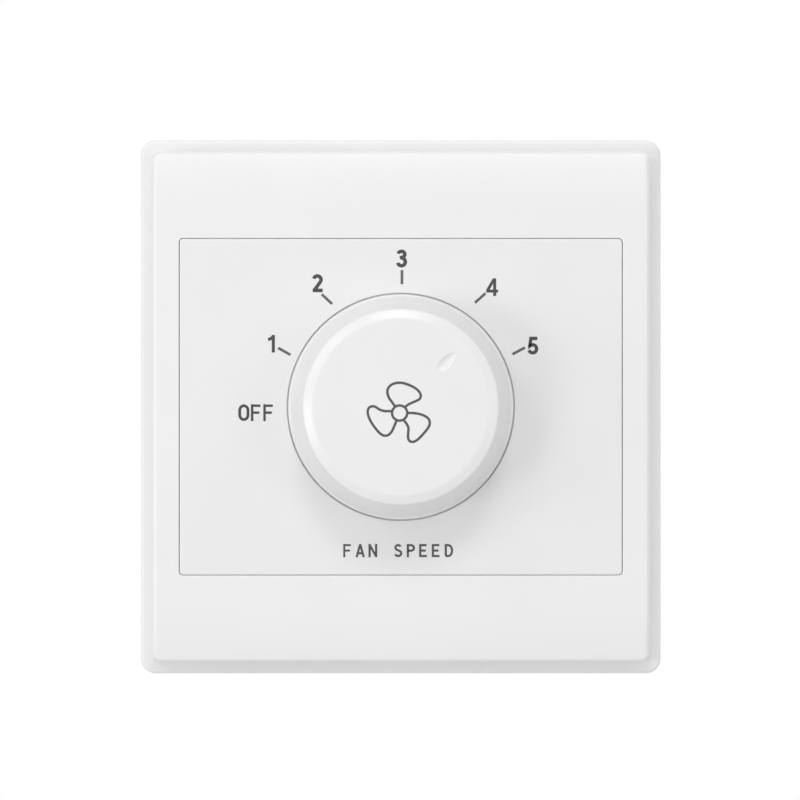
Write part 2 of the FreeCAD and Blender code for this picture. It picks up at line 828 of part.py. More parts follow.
def make_wiper():
    """Bronze wiper on the rotor: a flat ring, an arm and the dimple that runs on the track."""
    back_y = rotor_front_y + rotor_thickness
    ring = tube(rotor_radius - wiper_sheet, rotor_hub_radius, back_y, back_y + wiper_sheet)
    arm = block(rotor_hub_radius, wiper_circle + wiper_arm_width / 2, back_y, back_y + wiper_sheet,
                -wiper_arm_width / 2, wiper_arm_width / 2)
    nib = rod(wiper_arm_width / 2, back_y, track_front_y - wiper_gap, wiper_circle, 0)
    return turned_to(joined([ring, arm, nib]), pointer_rest)


def make_track():
    """Board with the carbon track, which also closes the can."""
    return tube(can_inner_radius - track_play, track_hole, track_front_y, track_back_y)


def make_switch_case():
    """Moulded case of the on and off switch behind the potentiometer."""
    radius = can_inner_radius - track_play
    cup = rod(radius, track_back_y, switch_back_y)
    hollow = rod(radius - switch_wall, track_back_y + switch_wall, switch_back_y - switch_wall)
    opening = rod(track_hole, track_back_y, track_back_y + switch_wall)
    pins = []
    for side in (-1, 1):
        x, z = contact_place(side)
        pins.append(centred_block(contact_sheet + 2 * screw_play, contact_width + 2 * screw_play,
                                  switch_back_y - switch_wall, switch_back_y, x, z))
    return cup.cut([hollow, opening, *pins])


def make_switch_driver():
    """Arm on the shaft's tail that pushes the switch lever at the off end."""
    disc = rod(driver_radius, driver_front_y, driver_back_y)
    arm = block(0, driver_arm_reach, driver_front_y, driver_back_y,
                -driver_arm_width / 2, driver_arm_width / 2)
    driver = joined([disc, arm]).cut(rod(shaft_tail_radius, driver_front_y, driver_back_y))
    return turned_to(driver, 270 - (pointer_off - pointer_rest))


def lever_x():
    """The lever stands beside the driver's arm, which points down when the knob is at off."""
    return driver_arm_width / 2 + stop_play + lever_width / 2


def lever_low_z():
    return -driver_arm_reach - lever_pin_radius


def make_switch_lever():
    """Lever of the switch, shown where the circuit is on, with its pivot pin in the case."""
    low = lever_low_z()
    arm = block(lever_x() - lever_width / 2, lever_x() + lever_width / 2, driver_front_y,
                driver_back_y, low, low + lever_length)
    pin = rod(lever_pin_radius, driver_front_y, switch_back_y - switch_wall, lever_x(), low)
    return joined([arm, pin])


def contact_place(side):
    """(x, z) of the two contact blades, beside the lever."""
    x = lever_x() + lever_width / 2 + contact_sheet / 2 + stop_play
    z = lever_low_z() + lever_length - contact_width / 2
    return (x, z) if side > 0 else (x + contact_width, z + contact_width)


def make_switch_contacts():
    """The two brass blades that the lever joins, each with its tail through the board."""
    blades = []
    for side in (-1, 1):
        x, z = contact_place(side)
        blade = centred_block(contact_sheet, contact_width, driver_front_y, switch_back_y, x, z)
        tail = rod(contact_sheet / 2, switch_back_y, lead_end_y, x, z)
        blades.append(joined([blade, tail]))
    return Part.makeCompound(blades)


def make_track_pins():
    """Three tinned pins from the track board, bent back to the circuit board."""
    pins = []
    outer_z = -can_radius - pin_width
    for step in (-1, 0, 1):
        x = step * pin_pitch
        inward = block(x - pin_width / 2, x + pin_width / 2, track_front_y - pin_sheet,
                       track_front_y, outer_z, pin_root - can_radius)
        back = block(x - pin_sheet / 2, x + pin_sheet / 2, track_front_y - pin_sheet, lead_end_y,
                     outer_z, outer_z + pin_sheet)
        pins.append(joined([inward, back]))
    return Part.makeCompound(pins)


def make_rear_housing():
    """Moulded housing: walls with vents, corner bosses, board ledges and the terminal bay."""
    outside = rounded_plate(housing_width, housing_height, housing_corner, seat_y, housing_depth)
    outside = rounded(outside, housing_round, lambda edge: on_plane_y(edge, housing_depth))
    inside = rounded_plate(inner_width, inner_height, housing_corner - housing_wall, seat_y,
                           back_wall_y)
    hull = rounded_plate(housing_width - housing_wall, housing_height - housing_wall,
                         housing_corner - housing_wall / 2, seat_y,
                         back_wall_y + housing_wall / 2)
    shell = outside.cut(inside)
    bosses = []
    bores = []
    for side in (-1, 1):
        for end in (-1, 1):
            x, z = side * boss_x, end * boss_z
            bosses.append(rod(boss_radius, seat_y, back_wall_y, x, z).common(hull))
            bores.append(rod(screw_radius + screw_play, seat_y, screw_end_y + screw_depth_play, x, z))
            ledge_in = inner_width / 2 - board_play - housing_wall
            bosses.append(block(*sorted((side * ledge_in, side * inner_width / 2)), board_back_y,
                                back_wall_y, end * ledge_z - ledge_width / 2,
                                end * ledge_z + ledge_width / 2))
    cuts = list(bores)
    for step in range(vent_count):
        x = (step - (vent_count - 1) / 2) * vent_pitch
        for end in (-1, 1):
            low, high = sorted((end * inner_height / 2, end * housing_height / 2))
            cuts.append(vent_in_wall(vent_width, vent_start, vent_start + vent_length, x, low, high))
        cuts.append(vent_in_back(vent_width, rear_vent_length, x, rear_vent_z, back_wall_y,
                                 housing_depth))
    cuts.append(block(-block_width / 2 - block_play, block_width / 2 + block_play, board_back_y,
                      housing_depth, block_bottom_z, block_top_z + block_play))
    return shell.fuse(bosses).cut(cuts).removeSplitter()


def make_housing_screws():
    """Four slotted screws from the yoke's front into the housing's bosses."""
    screws = []
    for side in (-1, 1):
        for end in (-1, 1):
            x, z = side * boss_x, end * boss_z
            head = rod(screw_head_radius, yoke_front_y - screw_head_height, yoke_front_y, x, z)
            front_y = yoke_front_y - screw_head_height
            head = rounded(head, screw_head_round, lambda edge: on_plane_y(edge, front_y))
            shank = rod(screw_radius, yoke_front_y, screw_end_y, x, z)
            slot = centred_block(2 * screw_head_radius, screw_slot, front_y,
                                 front_y + screw_slot_depth, x, z)
            screws.append(joined([head, shank]).cut(slot))
    return Part.makeCompound(screws)


def leads(spots, root_y):
    """Straight wires from inside a component through the board."""
    return [rod(radius, root_y - lead_root, lead_end_y, x, z) for x, z, radius in spots]


def make_heat_sink():
    """Aluminium channel with its flanges towards the top vents, standing on the board."""
    front_y = seat_y + sink_gap
    base = centred_block(sink_width, sink_sheet, front_y, board_front_y, 0, sink_z + sink_sheet / 2)
    flanges = [
        block(*sorted((side * (sink_width / 2 - sink_sheet), side * sink_width / 2)), front_y,
              board_front_y, sink_z, sink_z + sink_sheet + sink_flange)
        for side in (-1, 1)
    ]
    hole = Part.makeCylinder(triac_screw_radius + screw_play, sink_sheet,
                             place(0, triac_screw_y(), sink_z), upward)
    return joined([base, *flanges]).cut(hole)


def triac_body_back_y():
    return board_front_y - triac_lead_length


def triac_screw_y():
    return triac_body_back_y() - triac_body - triac_tab / 2


def triac_leads():
    z = sink_z - triac_body_thickness / 2
    return [(step * triac_pitch, z, triac_lead_radius) for step in (-1, 0, 1)]


def make_triac():
    """Power device: moulded body, metal tab with a hole, and three legs."""
    back_y = triac_body_back_y()
    body = block(-triac_width / 2, triac_width / 2, back_y - triac_body, back_y,
                 sink_z - triac_body_thickness, sink_z)
    tab = block(-triac_width / 2, triac_width / 2, back_y - triac_body - triac_tab,
                back_y - triac_body, sink_z - triac_tab_thickness, sink_z)
    hole = Part.makeCylinder(triac_screw_radius + screw_clearance, triac_tab_thickness,
                             place(0, triac_screw_y(), sink_z - triac_tab_thickness), upward)
    return joined([body, tab, *leads(triac_leads(), back_y)]).cut(hole)


def make_triac_screw():
    """Screw that clamps the tab to the heat sink."""
    head_z = sink_z - triac_tab_thickness
    y = triac_screw_y()
    head = Part.makeCylinder(triac_screw_head, triac_screw_head_height,
                             place(0, y, head_z - triac_screw_head_height), upward)
    shank = Part.makeCylinder(triac_screw_radius, triac_tab_thickness + sink_sheet + triac_screw_tail,
                              place(0, y, head_z), upward)
    slot = block(-triac_screw_head, triac_screw_head, y - screw_slot / 2, y + screw_slot / 2,
                 head_z - triac_screw_head_height,
                 head_z - triac_screw_head_height + triac_slot_depth)
    return joined([head, shank]).cut(slot)


def film_leads():
    x, z = film_place
    return [(x, z + side * film_pitch / 2, lead_radius) for side in (-1, 1)]


def make_film_capacitor():
    """Boxed interference capacitor."""
    x, z = film_place
    case = centred_block(film_width, film_length, board_front_y - film_height, board_front_y, x, z)
    front_y = board_front_y - film_height
    case = rounded(case, film_round, lambda edge: not on_plane_y(edge, board_front_y)
                   and (runs_along(edge, to_back) or on_plane_y(edge, front_y)))
    return joined([case, *leads(film_leads(), board_front_y)])


def timing_leads():
    x, z = timing_place
    return [(x + side * timing_pitch / 2, z, lead_radius) for side in (-1, 1)]


def make_timing_capacitor():
    x, z = timing_place
    case = centred_block(timing_width, timing_length, board_front_y - timing_height,
                         board_front_y, x, z)
    return joined([case, *leads(timing_leads(), board_front_y)])


def make_choke_core():
    """Ferrite drum: hub between two flanges."""
    x, z = choke_place
    front_y = board_front_y - choke_height
    return joined([
        rod(choke_radius, front_y, front_y + choke_flange, x, z),
        rod(choke_hub_radius, front_y, board_front_y, x, z),
        rod(choke_radius, board_front_y - choke_flange, board_front_y, x, z),
    ])


def make_choke_winding():
    """Enamelled winding on the drum, as one turned bundle with a ridge for each turn."""
    x, z = choke_place
    low = board_front_y - choke_height + choke_flange
    high = board_front_y - choke_flange
    pitch = (high - low) / choke_turns
    outer = choke_radius - choke_winding_inset
    points = [(choke_hub_radius, low)]
    for turn in range(choke_turns):
        points.append((outer - choke_groove, low + turn * pitch))
        points.append((outer, low + (turn + 0.5) * pitch))
    points.append((outer - choke_groove, high))
    points.append((choke_hub_radius, high))
    winding = revolved(points)
    winding.translate(place(x, 0, z))
    return winding


def fuse_leads():
    x, z = fuse_place
    return [(x, z + side * fuse_pitch / 2, lead_radius) for side in (-1, 1)]


def make_fuse():
    """Round pluggable fuse soldered to the board."""
    x, z = fuse_place
    front_y = board_front_y - fuse_height
    case = rod(fuse_radius, front_y, board_front_y, x, z)
    case = rounded(case, fuse_round, lambda edge: on_plane_y(edge, front_y))
    return joined([case, *leads(fuse_leads(), board_front_y)])


def axial_leads(length, x, z):
    return [(x, z + side * (length / 2 + axial_lead_span), lead_radius) for side in (-1, 1)]


def axial_part(radius, length, x, z):
    """Part lying on the board along Z, with its two wires bent back through the board."""
    y = board_front_y - radius
    body = Part.makeCylinder(radius, length, place(x, y, z - length / 2), upward)
    low, high = [spot[1] for spot in axial_leads(length, x, z)]
    middle_step = lead_bend * (1 - math.sqrt(0.5))

    def bend(tail_z, side):
        return Part.Arc(
            place(x, y + lead_bend, tail_z),
            place(x, y + middle_step, tail_z + side * middle_step),
            place(x, y, tail_z + side * lead_bend),
        ).toShape()

    path = Part.Wire([
        Part.makeLine(place(x, lead_end_y, low), place(x, y + lead_bend, low)),
        bend(low, 1),
        Part.makeLine(place(x, y, low + lead_bend), place(x, y, high - lead_bend)),
        bend(high, -1),
        Part.makeLine(place(x, y + lead_bend, high), place(x, lead_end_y, high)),
    ])
    section = Part.Wire(Part.makeCircle(lead_radius, place(x, lead_end_y, low), to_back))
    return joined([body, path.makePipeShell([section], True, False)])


def make_resistors():
    return Part.makeCompound([axial_part(resistor_radius, resistor_length, x, z)
                              for x, z in resistor_places])


def make_diac():
    return axial_part(diac_radius, diac_length, *diac_place)


def board_holes():
    """Every (x, z, radius) where a lead passes through the board."""
    spots = [*triac_leads(), *film_leads(), *timing_leads(), *fuse_leads()]
    for x, z in resistor_places:
        spots.extend(axial_leads(resistor_length, x, z))
    spots.extend(axial_leads(diac_length, *diac_place))
    for side in (-1, 1):
        x, z = contact_place(side)
        spots.append((x, z, contact_sheet / 2))
        spots.append((side * pole_spacing / 2, clamp_z, terminal_pin_radius))
    for step in (-1, 0, 1):
        spots.append((step * pin_pitch, -can_radius - pin_width + pin_sheet / 2, pin_hole))
    return spots


def make_circuit_board():
    """Board with a hole for each lead and round bites where the housing's bosses pass."""
    board = centred_block(inner_width - 2 * board_play, inner_height - 2 * board_play,
                          board_front_y, board_back_y)
    cuts = [
        rod(radius + lead_play, board_front_y, board_back_y, x, z) for x, z, radius in board_holes()
    ]
    for side in (-1, 1):
        for end in (-1, 1):
            cuts.append(rod(boss_radius + board_play / 2, board_front_y, board_back_y,
                            side * boss_x, end * boss_z))
            cuts.append(block(*sorted((side * boss_x, side * inner_width / 2)), board_front_y,
                              board_back_y, *sorted((end * boss_z, end * inner_height / 2))))
    return board.cut(cuts)


def make_terminal_block():
    """Moulded block with a pocket for each clamp, a wire funnel below and a screw hole behind."""
    body = block(-block_width / 2, block_width / 2, board_back_y, housing_depth,
                 block_bottom_z, block_top_z)
    body = rounded(body, block_round, lambda edge: on_plane_y(edge, housing_depth)
                   or abs(edge.BoundBox.ZMax - block_bottom_z) < 1e-6)
    cuts = []
    for side in (-1, 1):
        x = side * pole_spacing / 2
        cuts.append(centred_block(clamp_width + 2 * clamp_play, clamp_height + 2 * clamp_play,
                                  board_back_y, clamp_y + clamp_depth, x, clamp_z))
        cuts.append(Part.makeCone(funnel_radius, wire_radius + clamp_play,
                                  clamp_z - clamp_height / 2 - block_bottom_z,
                                  place(x, wire_y, block_bottom_z), upward))
        cuts.append(rod(terminal_head_radius + block_play, clamp_y + clamp_depth, housing_depth,
                        x, clamp_z))
    return body.cut(cuts)


def make_clamps():
    """Two brass clamps, each with its wire bore, screw hole and solder pin."""
    clamps = []
    for side in (-1, 1):
        x = side * pole_spacing / 2
        body = centred_block(clamp_width, clamp_height, clamp_y, clamp_y + clamp_depth, x, clamp_z)
        pin = rod(terminal_pin_radius, board_front_y - lead_reach, clamp_y, x, clamp_z)
        bore = Part.makeCylinder(wire_radius, clamp_height,
                                 place(x, wire_y, clamp_z - clamp_height / 2), upward)
        thread = rod(terminal_screw_radius + screw_play, wire_y, clamp_y + clamp_depth, x, clamp_z)
        clamps.append(joined([body, pin]).cut([bore, thread]))
    return Part.makeCompound(clamps)


def make_terminal_screws():
    """Two slotted clamp screws, backed off clear of the wire bores."""
    screws = []
    tip_y = wire_y + wire_radius
    head_y = clamp_y + clamp_depth
    for side in (-1, 1):
        x = side * pole_spacing / 2
        shank = rod(terminal_screw_radius, tip_y, head_y, x, clamp_z)
        head = rod(terminal_head_radius, head_y, head_y + terminal_head_height, x, clamp_z)
        slot = centred_block(2 * terminal_head_radius, terminal_slot,
                             head_y + terminal_head_height - terminal_slot_depth,
                             head_y + terminal_head_height, x, clamp_z)
        screws.append(joined([shank, head]).cut(slot))
    return Part.makeCompound(screws)


pieces = {
    "face_frame": make_face_frame,
    "insert_panel": make_insert_panel,
    "mounting_yoke": make_mounting_yoke,
    "knob": make_knob,
    "knob_clip": make_knob_clip,
    "control_shaft": make_shaft,
    "retaining_ring": make_retaining_ring,
    "threaded_bush": make_bush,
    "lock_washer": make_lock_washer,
    "bush_nut": make_bush_nut,
    "potentiometer_can": make_can,
    "rotor": make_rotor,
    "wiper": make_wiper,
    "track_board": make_track,
    "track_pins": make_track_pins,
    "switch_case": make_switch_case,
    "switch_driver": make_switch_driver,
    "switch_lever": make_switch_lever,
    "switch_contacts": make_switch_contacts,
    "rear_housing": make_rear_housing,
    "housing_screws": make_housing_screws,
    "circuit_board": make_circuit_board,
    "heat_sink": make_heat_sink,
    "triac": make_triac,
    "triac_screw": make_triac_screw,
    "film_capacitor": make_film_capacitor,
    "timing_capacitor": make_timing_capacitor,
    "choke_core": make_choke_core,
    "choke_winding": make_choke_winding,
    "fuse": make_fuse,
    "resistors": make_resistors,
    "diac": make_diac,
    "terminal_block": make_terminal_block,
    "terminal_clamps": make_clamps,
    "terminal_screws": make_terminal_screws,
}

os.makedirs("parts", exist_ok=True)
for name, make in pieces.items():
    shape = make()
    shape.exportStep(f"parts/{name}.step")
    print(f"{name}: {len(shape.Solids)} solid(s), {shape.Volume:.1f} mm3, valid {shape.isValid()}")
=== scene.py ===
import math

import bpy
import numpy as np
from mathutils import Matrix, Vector


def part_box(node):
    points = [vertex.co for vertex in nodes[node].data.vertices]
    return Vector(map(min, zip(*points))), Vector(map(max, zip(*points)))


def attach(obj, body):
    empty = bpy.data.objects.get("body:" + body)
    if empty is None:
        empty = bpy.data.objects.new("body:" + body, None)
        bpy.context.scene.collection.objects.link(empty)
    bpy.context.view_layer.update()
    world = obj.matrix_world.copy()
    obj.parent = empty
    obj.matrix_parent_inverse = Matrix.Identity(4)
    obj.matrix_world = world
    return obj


# Looks for the fan speed control switch. Metres, X right, Y into the wall, Z up.

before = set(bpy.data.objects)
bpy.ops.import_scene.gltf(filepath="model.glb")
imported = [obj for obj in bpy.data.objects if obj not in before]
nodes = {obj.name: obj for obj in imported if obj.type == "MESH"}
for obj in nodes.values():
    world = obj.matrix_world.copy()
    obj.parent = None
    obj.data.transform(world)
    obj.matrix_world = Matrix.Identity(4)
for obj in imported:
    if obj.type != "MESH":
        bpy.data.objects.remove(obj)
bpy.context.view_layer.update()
print("frame loaded:", len(nodes), "nodes")

mm = 0.001


def toLinear(hexText):
    # sRGB to linear light: a straight line below 0.04045 and a 2.4 power above it
    value = np.array([int(hexText[i:i + 2], 16) for i in (1, 3, 5)]) / 255
    linear = np.where(value <= 0.04045, value / 12.92, ((value + 0.055) / 1.055) ** 2.4)
    return (*linear.tolist(), 1.0)


def addNode(tree, kind, inputs=None, **settings):
    # one node with its settings; an input is a plain value, or another node's socket to link
    node = tree.nodes.new(kind)
    for key, value in settings.items():
        setattr(node, key, value)
    for key, value in (inputs or {}).items():
        if isinstance(value, bpy.types.NodeSocket):
            tree.links.new(value, node.inputs[key])
        else:
            node.inputs[key].default_value = value
    return node


def newFinish(name):
    material = bpy.data.materials.new(name)
    material.use_nodes = True
    tree = material.node_tree
    tree.nodes.clear()
    where = addNode(tree, "ShaderNodeTexCoord").outputs["Object"]
    return material, tree, where


def closeFinish(tree, sockets):
    shader = addNode(tree, "ShaderNodeBsdfPrincipled", sockets)
    addNode(tree, "ShaderNodeOutputMaterial", {"Surface": shader.outputs["BSDF"]})


def giveFinish(material, *names):
    for name in names:
        slots = nodes[name].data.materials
        slots.clear()
        slots.append(material)


noiseRange = {"From Min": 0.3, "From Max": 0.7}   # where nearly all of a noise's values lie
wholeRange = {"From Min": 0.0, "From Max": 1.0}
# how many finer layers each kind of noise adds
noiseDetail = {"cloud": 2.0, "lines": 2.0, "grain": 3.0, "fibre": 4.0}


def mixColours(tree, look, pattern, patternRange=noiseRange):
    # the look's two colours, the first giving way to the second as the pattern crosses its range
    share = addNode(tree, "ShaderNodeMapRange", {"Value": pattern, **patternRange})
    mixed = addNode(tree, "ShaderNodeMix", {
        0: share.outputs[0], 6: toLinear(look["colour"]), 7: toLinear(look["colourToo"])},
        data_type="RGBA")
    return mixed.outputs[2]


def spreadRoughness(tree, look, pattern, patternRange=noiseRange):
    # the look's two roughnesses, in the same way
    spread = addNode(tree, "ShaderNodeMapRange", {
        "Value": pattern, **patternRange,
        "To Min": look["roughness"][0], "To Max": look["roughness"][1]})
    return spread.outputs[0]


def distanceFromY(tree, point):
    # the point without its Y, and the length of what is left
    flat = addNode(tree, "ShaderNodeVectorMath", {0: point, 1: (1, 0, 1)}, operation="MULTIPLY")
    length = addNode(tree, "ShaderNodeVectorMath", {0: flat.outputs[0]}, operation="LENGTH")
    return length.outputs["Value"]


# Plastics


def mouldedPlastic(name, look):
    # an even colour that clouds a little where the melt flowed, and the grain of the mould's
    # steel, drawn a few times as coarse as it is, or it wouldn't show
    material, tree, where = newFinish(name)
    cloud = addNode(tree, "ShaderNodeTexNoise", {
        "Vector": where, "Scale": 1 / look["cloudSize"],
        "Detail": noiseDetail["cloud"]}).outputs["Fac"]
    grain = addNode(tree, "ShaderNodeTexNoise", {
        "Vector": where, "Scale": 1 / look["grainSize"],
        "Detail": noiseDetail["grain"]}).outputs["Fac"]
    bump = addNode(tree, "ShaderNodeBump", {
        "Strength": look["grainStrength"], "Distance": look["grainHeight"], "Height": grain})
    closeFinish(tree, {
        "Base Color": mixColours(tree, look, cloud),
        "Roughness": spreadRoughness(tree, look, cloud),
        "Normal": bump.outputs[0], "IOR": look["ior"]})
    return material


# the frame's polycarbonate, from its own mould: a shade whiter than the panel, satin
frameLook = {
    "colour": "#F0F0F0", "colourToo": "#EEEEEE", "roughness": (0.32, 0.38), "ior": 1.58,
    "cloudSize": 16 * mm,
    "grainSize": 0.35 * mm, "grainHeight": 0.003 * mm, "grainStrength": 0.6,
}
# polycarbonate from a finely eroded mould: near white, satin, with a grain that only gloss shows
panelLook = {
    "colour": "#EDEDED", "colourToo": "#EBEBEB", "roughness": (0.34, 0.40), "ior": 1.58,
    "cloudSize": 14 * mm,
    "grainSize": 0.35 * mm, "grainHeight": 0.003 * mm, "grainStrength": 0.6,
}
# ABS from a polished mould: between the two in colour, and a little glossier than the plate
knobLook = {
    "colour": "#EFEFEF", "colourToo": "#EDEDED", "roughness": (0.28, 0.33), "ior": 1.54,
    "cloudSize": 9 * mm,
    "grainSize": 0.3 * mm, "grainHeight": 0.002 * mm, "grainStrength": 0.5,
}
# flame retardant polyamide from a coarse eroded mould: warm grey white, quite matt
housingLook = {
    "colour": "#DBD9D1", "colourToo": "#D7D4CC", "roughness": (0.50, 0.60), "ior": 1.53,
    "cloudSize": 11 * mm,
    "grainSize": 0.45 * mm, "grainHeight": 0.03 * mm, "grainStrength": 0.8,
}
# grey polyamide, as moulded: slightly waxy
terminalLook = {
    "colour": "#9BA0A3", "colourToo": "#94999D", "roughness": (0.38, 0.46), "ior": 1.53,
    "cloudSize": 5 * mm,
    "grainSize": 0.4 * mm, "grainHeight": 0.015 * mm, "grainStrength": 0.7,
}
# phenolic pressed from powder: black with brown flecks of its filler
phenolicLook = {
    "colour": "#1E1B19", "colourToo": "#2C2622", "roughness": (0.30, 0.44), "ior": 1.6,
    "cloudSize": 1.2 * mm,
    "grainSize": 0.25 * mm, "grainHeight": 0.01 * mm, "grainStrength": 0.6,
}
giveFinish(mouldedPlastic("satin_moulded_polycarbonate", frameLook), "face_frame")
giveFinish(mouldedPlastic("eroded_mould_polycarbonate", panelLook), "insert_panel")
giveFinish(mouldedPlastic("polished_abs", knobLook), "knob")
giveFinish(mouldedPlastic("eroded_polyamide", housingLook), "rear_housing")
giveFinish(mouldedPlastic("moulded_grey_polyamide", terminalLook), "terminal_block")
giveFinish(mouldedPlastic("pressed_phenolic", phenolicLook),
           "rotor", "switch_driver", "switch_case")
print("plastics done")


# Metals


def zincSheet(name, look):
    # zinc dipped steel: crystals a few millimetres across, each its own grey, with soft edges
    # between them that a noise bends out of line
    material, tree, where = newFinish(name)
    warp = addNode(tree, "ShaderNodeTexNoise", {"Vector": where, "Scale": 1 / look["warpSize"]})
    spread = addNode(tree, "ShaderNodeVectorMath", {
        0: warp.outputs["Color"], 3: look["warpReach"]}, operation="SCALE")
    moved = addNode(tree, "ShaderNodeVectorMath", {
        0: where, 1: spread.outputs[0]}, operation="ADD")
    crystal = addNode(tree, "ShaderNodeTexVoronoi", {
        "Vector": moved.outputs[0], "Scale": 1 / look["crystalSize"],
        "Smoothness": look["edgeSoftness"]}, feature="SMOOTH_F1").outputs["Color"]
    grain = addNode(tree, "ShaderNodeTexNoise", {
        "Vector": where, "Scale": 1 / look["grainSize"],
        "Detail": noiseDetail["grain"]}).outputs["Fac"]
    bump = addNode(tree, "ShaderNodeBump", {
        "Strength": look["grainStrength"], "Distance": look["grainHeight"], "Height": grain})
    closeFinish(tree, {
        "Base Color": mixColours(tree, look, crystal, wholeRange), "Metallic": 1.0,
        "Roughness": spreadRoughness(tree, look, crystal, wholeRange),
        "Normal": bump.outputs[0]})
    return material


def linedMetal(name, look):
    # metal with the fine lines that its making left, drawn a few times as wide as they are: noise
    # drawn out along one axis, or round Y, where the noise reads only the distance from the
    # nearest screw's axis and the depth
    material, tree, where = newFinish(name)
    if look["lines"] == "round":
        folded = addNode(tree, "ShaderNodeVectorMath", {0: where}, operation="ABSOLUTE")
        fromAxis = addNode(tree, "ShaderNodeVectorMath", {
            0: folded.outputs[0], 1: (look["axis"][0], 0, look["axis"][1])},
            operation="SUBTRACT")
        depth = addNode(tree, "ShaderNodeSeparateXYZ", {0: where})
        pattern = addNode(tree, "ShaderNodeCombineXYZ", {
            0: distanceFromY(tree, fromAxis.outputs[0]), 1: depth.outputs[1]}).outputs[0]
    else:
        stretch = [look["shortening"] if axis == look["lines"] else 1.0 for axis in "XYZ"]
        pattern = addNode(tree, "ShaderNodeMapping", {
            "Vector": where, "Scale": stretch}).outputs[0]
    lines = addNode(tree, "ShaderNodeTexNoise", {
        "Vector": pattern, "Scale": 1 / look["lineWidth"],
        "Detail": noiseDetail["lines"]}).outputs["Fac"]
    cloud = addNode(tree, "ShaderNodeTexNoise", {
        "Vector": where, "Scale": 1 / look["cloudSize"],
        "Detail": noiseDetail["cloud"]}).outputs["Fac"]
    normal = addNode(tree, "ShaderNodeBump", {
        "Strength": lineStrength, "Distance": look["lineDepth"], "Height": lines}).outputs[0]
    if "threadPitch" in look:
        # the texture's bands repeat every 2 pi / (20 scale)
        thread = addNode(tree, "ShaderNodeTexWave", {
            "Vector": where, "Scale": 2 * math.pi / (20 * look["threadPitch"])},
            bands_direction="Y")
        normal = addNode(tree, "ShaderNodeBump", {
            "Strength": look["threadStrength"], "Distance": look["threadDepth"],
            "Height": thread.outputs["Fac"], "Normal": normal}).outputs[0]
    closeFinish(tree, {
        "Base Color": mixColours(tree, look, cloud), "Metallic": 1.0,
        "Roughness": spreadRoughness(tree, look, lines), "Normal": normal})
    return material


# pressed yoke: bright grey crystals about 5 mm across
yokeLook = {
    "colour": "#A9ACAE", "colourToo": "#C0C3C4", "roughness": (0.34, 0.50),
    "crystalSize": 5 * mm, "edgeSoftness": 0.15, "warpSize": 3 * mm, "warpReach": 0.6 * mm,
    "grainSize": 0.3 * mm, "grainHeight": 0.004 * mm, "grainStrength": 0.5,
}
# drawn steel can, zinc plated: smaller crystals and a bluer grey
canLook = {
    "colour": "#B9BEC2", "colourToo": "#CDD1D4", "roughness": (0.26, 0.38),
    "crystalSize": 2.5 * mm, "edgeSoftness": 0.15, "warpSize": 2 * mm, "warpReach": 0.4 * mm,
    "grainSize": 0.25 * mm, "grainHeight": 0.003 * mm, "grainStrength": 0.5,
}
lineStrength = 0.6   # how strongly the lines of all the metals below show
# steel turned on a lathe: bright, with fine rings round the axis
shaftLook = {
    "lines": "round", "axis": (0, 0), "lineWidth": 0.12 * mm, "lineDepth": 0.004 * mm,
    "colour": "#B4B6B8", "colourToo": "#C4C6C7", "roughness": (0.20, 0.34), "cloudSize": 4 * mm,
}
# spring steel strip, rolled and tempered: darker, faintly straw brown
springLook = {
    "lines": "Y", "shortening": 0.08, "lineWidth": 0.15 * mm, "lineDepth": 0.003 * mm,
    "colour": "#8F8D88", "colourToo": "#A09B90", "roughness": (0.26, 0.36), "cloudSize": 2 * mm,
}
# turned brass with a 0.75 mm thread, drawn as a bump
bushLook = {
    "lines": "round", "axis": (0, 0), "lineWidth": 0.12 * mm, "lineDepth": 0.004 * mm,
    "colour": "#D2AE62", "colourToo": "#C79F50", "roughness": (0.22, 0.36), "cloudSize": 3 * mm,
    "threadPitch": 0.75 * mm, "threadDepth": 0.2 * mm, "threadStrength": 0.8,
}
# nickel on steel: warm bright grey with pressing marks
nickelLook = {
    "lines": "round", "axis": (0, 0), "lineWidth": 0.15 * mm, "lineDepth": 0.003 * mm,
    "colour": "#C9C6BF", "colourToo": "#D4D1CA", "roughness": (0.18, 0.30), "cloudSize": 3 * mm,
}
# cut and milled brass of the wire clamps
clampLook = {
    "lines": "X", "shortening": 0.06, "lineWidth": 0.18 * mm, "lineDepth": 0.004 * mm,
    "colour": "#CFA95C", "colourToo": "#BF9547", "roughness": (0.28, 0.42), "cloudSize": 3 * mm,
}
# brass strip dipped in tin: dull silver with a warm cast
tinnedLook = {
    "lines": "Y", "shortening": 0.08, "lineWidth": 0.2 * mm, "lineDepth": 0.004 * mm,
    "colour": "#C8C4B6", "colourToo": "#D3D0C5", "roughness": (0.30, 0.44), "cloudSize": 2 * mm,
}
# rolled spring bronze: reddish and bright
bronzeLook = {
    "lines": "X", "shortening": 0.08, "lineWidth": 0.15 * mm, "lineDepth": 0.003 * mm,
    "colour": "#C08A58", "colourToo": "#B27B49", "roughness": (0.24, 0.36), "cloudSize": 2 * mm,
}
# mill finish aluminium sheet: pale, with rolling lines across the wall box
sinkLook = {
    "lines": "X", "shortening": 0.04, "lineWidth": 0.25 * mm, "lineDepth": 0.006 * mm,
    "colour": "#CFD1D3", "colourToo": "#DADBDC", "roughness": (0.30, 0.44), "cloudSize": 7 * mm,
}
# copper wire in brown red enamel: glossy, and faintly uneven along its turns
enamelLook = {
    "lines": "round", "axis": (0, 0), "lineWidth": 0.3 * mm, "lineDepth": 0.004 * mm,
    "colour": "#A4502A", "colourToo": "#8E3F1F", "roughness": (0.16, 0.26), "cloudSize": 2 * mm,
}


